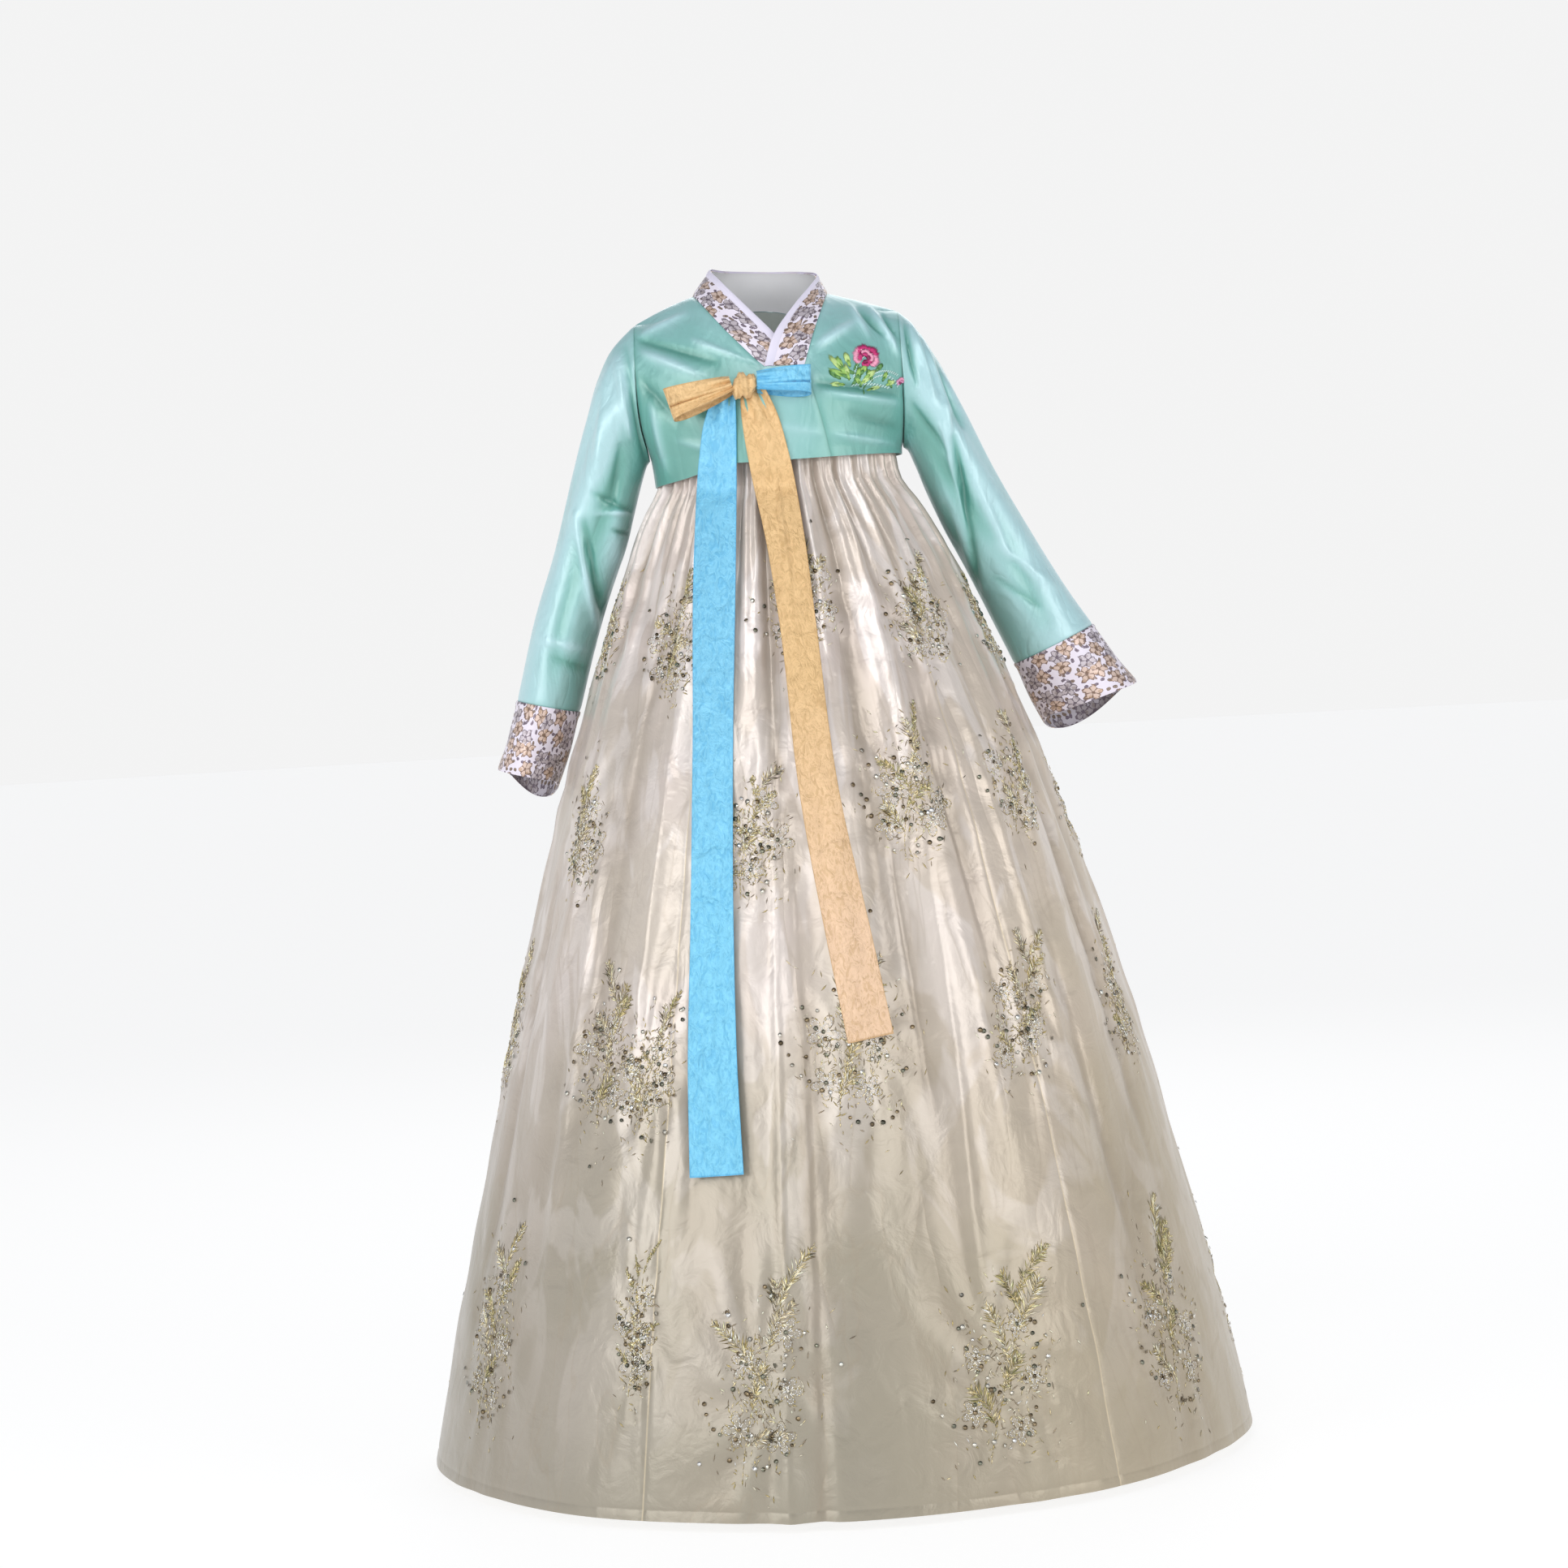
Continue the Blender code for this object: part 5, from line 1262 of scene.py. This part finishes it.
def crinkled_ribbon(name, light, dark, low_light):
    """Crinkled satin ribbon: fine threads of light and shade from folded noise drawn out along the ribbon,
    larger dents across it, a tone that changes a little from top to bottom, and darker turned edges."""
    made = new_finish(name, 0.38, {"Metallic": 0.12, "Sheen Weight": 0.2, "Sheen Roughness": 0.4,
                                   "Specular IOR Level": 0.6})
    place = place_of(made, "UV")
    drawn = drawn_out(made, place, (1.9, 1.0, 0))
    crackle = noise_of(made, drawn, 62.0, 5.0, 1.2, 0.60)
    folded = folded_of(made, crackle)
    fine = noise_of(made, drawn, 300.0, 2.0)
    mottle = math_of(made, "ADD", times(made, folded, 3.2), times(made, fine, 0.35))
    height = node(made, "ShaderNodeSeparateXYZ", {0: place_of(made)}, out=2)
    low = between(made, height, -0.75, -0.45, 1.0, 0.0)
    tone = mix_of(made, low, light, low_light)
    weight = between(made, mottle, 0.20, 0.58, 0.0, 1.0)
    tone = mix_of(made, times(made, weight, 0.45), tone, dark)
    near = measure_of(made, "seam")
    edge = between(made, near, 0.0006, 0.0016, 0.65, 0.0)
    wire(made, "Base Color", mix_of(made, edge, tone, dark))
    dents = noise_of(made, place, 34.0, 3.0, 1.0)
    relief(made, [(dents, 0.6, 0.006), (folded, 0.9, 0.0030), (fine, 0.25, 0.0006)])
    return made


RIBBONS = {
    "blue": crinkled_ribbon("blue ribbon", (0.22, 0.60, 0.83), (0.05, 0.36, 0.66), (0.20, 0.60, 0.83)),
    "gold": crinkled_ribbon("gold ribbon", (0.78, 0.52, 0.25), (0.48, 0.28, 0.10), (0.82, 0.57, 0.38)),
}


def hanging_y(x, height):
    """Where a ribbon hangs: over the outer front, and below it over the crests of the skirt's folds."""
    half_width, half_depth, shift = read_table(SKIRT_SECTIONS, height)
    across = np.clip((x - shift) / (half_width + SKIRT_CLEAR), -0.99, 0.99)
    clear = np.maximum(SKIRT_CLEAR, skirt_ease(np.arcsin(across), height) + 0.0030)
    skirt = (half_depth + clear) * np.sqrt(1 - across ** 2)
    hem = OUTER_HEM[1][1]
    front = -body_y(x, np.maximum(height, hem), FRONT, LAYER_LIFT) + RIBBON + RIBBON_CLEAR
    below = np.clip((hem - height) / 0.06, 0, 1)
    front = front - 0.02 * below ** 2 * (3 - 2 * below)
    return -(skirt + front + np.sqrt((skirt - front) ** 2 + 0.000016)) / 2


for colour, table in TAILS.items():
    low, high = table[0][0], table[-1][0]
    share = np.concatenate([[0, 0.002, 0.006], np.linspace(0.012, 1, 150)])
    height = (low + (high - low) * share)[:, None] + np.zeros((1, 22))
    across = np.linspace(0, 1, 22)[None, :] + 0 * height
    middle, width = read_table(table, height)
    slope = -(read_table(table, height + 0.01)[0] - read_table(table, height - 0.01)[0]) / 0.02
    aside = (across - 0.5) * width / np.sqrt(1 + slope ** 2)
    slant = 0.06 * aside * np.exp(-(height - low) / 0.03)
    x, z = middle + aside, height + aside * slope + slant
    gathered = np.clip((height - 1.13) / 0.14, 0, 1) ** 1.5
    pleats = 0.0070 * gathered * np.cos(3.6 * math.pi * (across + 0.1 * np.sin(40 * height)) + 0.6)
    waves = 0.0010 * np.sin(2 * math.pi * across + 17 * height) * np.sin(9 * height + 1) ** 2
    outer = np.stack([x, hanging_y(x, z) - np.abs(waves) - pleats * 0.5 - 0.0008, z - SHOULDER_HEIGHT], -1)
    away = np.minimum(np.minimum(across, 1 - across) * width + 0.0004, (height - low) * 0.6)
    tail = cloth("tail_" + colour, outer, facing(outer), RIBBON_CLOTH, np.stack([aside, height], -1),
                 RIBBONS[colour], RIBBONS[colour], seam=away)
    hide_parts("ribbon_tail_" + colour)

seat = body_y(np.array(KNOT_CENTRE[0]), np.array(KNOT_CENTRE[1]), FRONT, LAYER_LIFT)
knot_y = float(seat) - RIBBON - RIBBON_CLEAR - KNOT_CLEAR - KNOT_HALF[1]
for colour, (start_x, start_z, end_x, end_z, narrow, wide) in LOOPS.items():
    turn = np.linspace(0, 1, 80)[None, :]
    across = np.linspace(0, 1, 40)[:, None]
    reach = np.sin(math.pi * turn) ** 0.8
    run_x, run_z = end_x - start_x, end_z - start_z
    length = math.hypot(run_x, run_z)
    width = narrow + (wide - narrow) * reach ** 0.8
    ahead = (1 - np.cos(math.pi * turn)) / 2
    aside = (across - 0.5) * width * (1 - 0.42 * ahead * reach * (1 - across))
    square_x, square_z = -run_z / length * math.copysign(1, run_x), abs(run_x) / length
    x = start_x + run_x * reach + square_x * aside
    z = start_z + run_z * reach + square_z * aside + 0.004 * ahead - 0.002
    puff = 0.0055 + 0.0045 * reach * (1 - (2 * across - 1) ** 2 * (turn > 0.5))
    pleats = 0.0028 * (1 - reach) * np.cos(5 * math.pi * across)
    pleats = pleats + 0.0020 * reach * np.sin(3.5 * math.pi * across + 2)
    crease = 0.0065 * np.exp(-((across - 0.34 - 0.14 * reach) / 0.055) ** 2) * np.sin(math.pi * turn) ** 0.5
    shown = np.clip((turn - 0.45) / 0.1, 0.3, 1)
    y = knot_y + puff * np.cos(math.pi * turn) - pleats * shown + crease * (turn > 0.5)
    outer = np.stack([x, y, z - SHOULDER_HEIGHT], -1)
    normals = facing(outer) * math.copysign(1, run_x)
    uv = np.stack([turn * 2 * length + 0 * across, across * wide + 0 * turn], -1)
    away = np.minimum(across, 1 - across) * width + 0 * turn
    loop = cloth("loop_" + colour, outer, normals, RIBBON_CLOTH, uv, RIBBONS[colour], RIBBONS[colour],
                 seam=away)
    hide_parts("ribbon_loop_" + colour)

turn = np.linspace(0, 2 * math.pi, 73)[None, :]
along = np.linspace(-0.985, 0.985, 40)[:, None]
girth = (1 - np.abs(along) ** 3.4) ** 0.5
folds = 1 + 0.14 * np.cos(6.5 * along + 2.2 * np.sin(turn))
folds = folds + 0.07 * np.cos(15 * along + 3.5 * np.sin(turn + 1))
folds = folds * (1 - 0.12 * along)
knot = np.stack([KNOT_CENTRE[0] + KNOT_HALF[0] * along + 0.0015 * np.sin(turn),
                 knot_y + KNOT_HALF[1] * girth * folds * np.cos(turn),
                 KNOT_CENTRE[1] - SHOULDER_HEIGHT + KNOT_HALF[2] * girth * folds * np.sin(turn)], -1)
normals = unit(knot[:, :-1] - np.array([KNOT_CENTRE[0], knot_y, KNOT_CENTRE[1] - SHOULDER_HEIGHT]))
uv = np.stack([turn * 0.013 + 0 * along, along * 0.02 + 0 * turn], -1)
wrap = cloth("knot_wrap", knot[:, :-1], normals, RIBBON, uv, RIBBONS["gold"], RIBBONS["gold"], True,
             seam=0.01 + 0 * knot[:, :-1, 0])
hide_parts("ribbon_knot")

# Chest flower. A magenta peony with green blades and pale curls, hand embroidered in floss silk on the outer
# front by the armhole, in long and short stitches.

PETAL_DARK, PETAL, PETAL_PALE = (0.24, 0.01, 0.08), (0.60, 0.03, 0.19), (0.86, 0.36, 0.52)
BLADE_DARK, BLADE, BLADE_PALE = (0.10, 0.27, 0.07), (0.30, 0.52, 0.12), (0.52, 0.70, 0.26)
ARC_PALE, BUD = (0.62, 0.86, 0.82), (0.70, 0.30, 0.50)
FLOSS_WIDTH, FLOSS_RISE = 0.0016, 0.0005
FLOSS = dyed_finish("floss silk", 0.42, 0.0)
rng = np.random.default_rng(7)
firsts, lasts, dyes, lifts = [], [], [], []


def fill_petal(base_x, base_z, way, long, wide, pale, dark, lift, count=26):
    """Long and short stitches that fill a petal: they fan from its base to a round edge, darker at the base."""
    fan = np.linspace(-1, 1, count)
    reach = long * np.sqrt(np.clip(1 - 0.55 * fan ** 2, 0, 1)) * rng.uniform(0.90, 1.05, count)
    line = heading(way + fan * wide / long)
    base = np.array([base_x, base_z]) + 0.12 * wide * fan[:, None] * np.array([math.cos(way), -math.sin(way)])
    for near, far, dye in ((0.0, 0.55, dark), (0.40, 1.0, pale)):
        firsts.append(base + line * (reach * near)[:, None])
        lasts.append(base + line * (reach * far)[:, None])
        tint = np.array(dye) * (1 + 0.12 * rng.standard_normal((count, 1)))
        dyes.append(np.clip(tint, 0.005, 1))
        lifts.append(np.full(count, lift))


for petal in (
        (0.110, 1.318, -0.9, 0.017, 0.011, PETAL_PALE, PETAL, 0.0004),
        (0.110, 1.318, -0.1, 0.018, 0.012, PETAL, PETAL_DARK, 0.0005),
        (0.112, 1.317, 0.9, 0.019, 0.012, PETAL, PETAL_DARK, 0.0005),
        (0.113, 1.316, 1.9, 0.017, 0.011, PETAL_PALE, PETAL, 0.0006),
        (0.110, 1.315, 2.9, 0.010, 0.008, PETAL, PETAL_DARK, 0.0006),
        (0.107, 1.318, -1.9, 0.012, 0.008, PETAL_PALE, PETAL, 0.0006),
        (0.110, 1.319, 0.3, 0.010, 0.008, PETAL_PALE, PETAL, 0.0009),
        (0.112, 1.317, 1.4, 0.011, 0.008, PETAL_PALE, PETAL_DARK, 0.0009),
        (0.1535, 1.286, 0.2, 0.008, 0.006, PETAL_PALE, BUD, 0.0005),
        (0.1535, 1.286, -1.2, 0.007, 0.005, BUD, PETAL_DARK, 0.0005),
        (0.088, 1.296, -0.7, 0.034, 0.0040, BLADE_PALE, BLADE, 0.0004),
        (0.092, 1.292, -1.1, 0.030, 0.0040, BLADE, BLADE_DARK, 0.0005),
        (0.086, 1.286, -1.5, 0.020, 0.0035, BLADE_PALE, BLADE, 0.0005),
        (0.090, 1.290, -0.2, 0.022, 0.0035, BLADE_PALE, BLADE, 0.0006),
        (0.098, 1.288, 0.3, 0.020, 0.0035, BLADE, BLADE_DARK, 0.0004),
        (0.102, 1.284, 0.9, 0.018, 0.0035, BLADE_PALE, BLADE, 0.0005),
        (0.106, 1.282, -0.6, 0.016, 0.0030, BLADE, BLADE_DARK, 0.0006),
        (0.112, 1.278, 1.3, 0.018, 0.0030, BLADE_PALE, BLADE, 0.0004),
        (0.130, 1.288, 0.5, 0.014, 0.0030, BLADE, BLADE_DARK, 0.0005),
        (0.134, 1.283, 1.1, 0.014, 0.0030, BLADE_PALE, BLADE, 0.0005),
        (0.142, 1.280, -0.4, 0.012, 0.0028, BLADE, BLADE_DARK, 0.0004),
        (0.096, 1.302, 0.6, 0.012, 0.0028, BLADE_DARK, BLADE_DARK, 0.0004),
        (0.084, 1.300, -0.4, 0.022, 0.0050, BLADE, BLADE_DARK, 0.0004),
        (0.080, 1.292, -0.9, 0.018, 0.0045, BLADE_DARK, BLADE_DARK, 0.0004),
        (0.092, 1.306, -0.3, 0.020, 0.0045, BLADE_PALE, BLADE, 0.0005),
        (0.098, 1.298, -1.2, 0.022, 0.0045, BLADE, BLADE_DARK, 0.0006),
        (0.100, 1.306, 0.2, 0.014, 0.0040, BLADE_DARK, BLADE_DARK, 0.0003),
        (0.104, 1.296, 0.5, 0.016, 0.0042, BLADE, BLADE_DARK, 0.0005),
        (0.094, 1.284, 0.6, 0.018, 0.0042, BLADE_DARK, BLADE_DARK, 0.0004),
        (0.108, 1.292, 1.0, 0.018, 0.0042, BLADE_PALE, BLADE, 0.0006),
        (0.118, 1.288, -0.3, 0.016, 0.0042, BLADE, BLADE_DARK, 0.0004),
        (0.122, 1.300, 0.8, 0.014, 0.0036, BLADE_DARK, BLADE_DARK, 0.0004)):
    fill_petal(*petal)
for start, way, long, bend, dye in (
        ((0.095, 1.290), 0.1, 0.040, 0.9, ARC_PALE),
        ((0.112, 1.282), 0.4, 0.050, 2.4, ARC_PALE),
        ((0.090, 1.284), 1.4, 0.050, 0.5, ARC_PALE),
        ((0.110, 1.312), 2.9, 0.040, 0.7, BLADE_DARK),
        ((0.118, 1.296), 1.0, 0.034, 1.2, ARC_PALE)):
    for offset in (-0.0008, 0, 0.0008):
        curve = curl(np.array(start) + offset, way, long, bend, 14)
        firsts.append(curve[:-1])
        lasts.append(curve[1:])
        dyes.append(np.repeat(np.array([dye]), 13, 0))
        lifts.append(np.full(13, 0.0004))
first, last, dye, lift = (np.concatenate(part) for part in (firsts, lasts, dyes, lifts))


def on_front(flat, lift):
    """Lays X and height places onto the creased outer front, lifted off it; gives places and normals."""
    x, height = flat[..., 0], flat[..., 1]
    step = 0.0005

    def at(x, height):
        return np.stack([x, body_y(x, height, FRONT, LAYER_LIFT), height - SHOULDER_HEIGHT], -1)

    along, up = at(x + step, height) - at(x - step, height), at(x, height + step) - at(x, height - step)
    normal = unit(np.cross(along, up))
    away = np.clip((0.156 - x) / 0.012, 0.25, 1)
    return at(x, height) + normal * (creases(FRONT_CREASES, x, height) * away + lift)[..., None], normal


start, _ = on_front(first, lift)
middle, normal = on_front((first + last) / 2, lift)
end, _ = on_front(last, lift)
width = np.full(len(first), FLOSS_WIDTH)
peony = thread_mesh("chest_flower", start, middle, end, normal, width, FLOSS_RISE, dye, FLOSS)

# Studio. A plain pale floor just under the hem, soft light from large lamps, and the photo's viewpoint.

FLOOR_GAP = 0.012         # how far the floor lies under the hem
bpy.ops.mesh.primitive_circle_add(vertices=96, radius=30, fill_type="NGON",
                                  location=(0, 0, -SHOULDER_HEIGHT - FLOOR_GAP))
floor = bpy.context.object
floor.name = "studio_floor"
floor_paint = new_finish("pale floor", 0.85, {"Base Color": (0.24, 0.24, 0.24, 1), "Emission Strength": 0.80,
                                              "Emission Color": (1, 1, 1, 1)})
floor.data.materials.append(floor_paint)

world = bpy.data.worlds.new("studio")
world.use_nodes = True
sky = world.node_tree.nodes["Background"]
sky.inputs[1].default_value = 0.90
up = world.node_tree.nodes.new("ShaderNodeSeparateXYZ")
way = world.node_tree.nodes.new("ShaderNodeTexCoord")
shade = world.node_tree.nodes.new("ShaderNodeValToRGB")
shade.color_ramp.elements[0].position = 0.17
shade.color_ramp.elements[0].color = (1, 1, 1, 1)
shade.color_ramp.elements[1].position = 0.42
shade.color_ramp.elements[1].color = (0.30, 0.32, 0.35, 1)
world.node_tree.links.new(way.outputs["Generated"], up.inputs[0])
world.node_tree.links.new(up.outputs[2], shade.inputs[0])
world.node_tree.links.new(shade.outputs[0], sky.inputs[0])
bpy.context.scene.world = world
bpy.context.scene.view_settings.view_transform = "Standard"
for name, place, size, power in (
        ("top_front", (-0.6, -2.9, 2.3), 1.5, 34),
        ("left_front", (-3.1, -2.9, 0.5), 2.4, 56),
        ("right_front", (3.1, -2.9, 0.6), 2.4, 46),
        ("back", (0.4, 3.4, 1.6), 2.2, 34)):
    lamp = bpy.data.lights.new(name, "AREA")
    lamp.size = size
    lamp.energy = power
    holder = bpy.data.objects.new(name, lamp)
    bpy.context.scene.collection.objects.link(holder)
    holder.location = place
    direction = np.array([0.0, 0.0, -0.6]) - np.array(place)
    yaw = math.atan2(-direction[0], direction[1])
    pitch = math.acos(-direction[2] / np.linalg.norm(direction))
    holder.rotation_euler = (pitch, 0, yaw)

lens = bpy.data.cameras.new("camera")
lens.lens = 89.44
lens.sensor_width = 36.0
viewer = bpy.data.objects.new("camera", lens)
viewer.location = (-0.015, -4.8, -0.390)
viewer.rotation_mode = "QUATERNION"
viewer.rotation_quaternion = (Quaternion((1, 0, 0), math.radians(90 - 2.314))
                              @ Quaternion((0, 0, 1), math.radians(-3.15)))
bpy.context.scene.collection.objects.link(viewer)
bpy.context.scene.camera = viewer
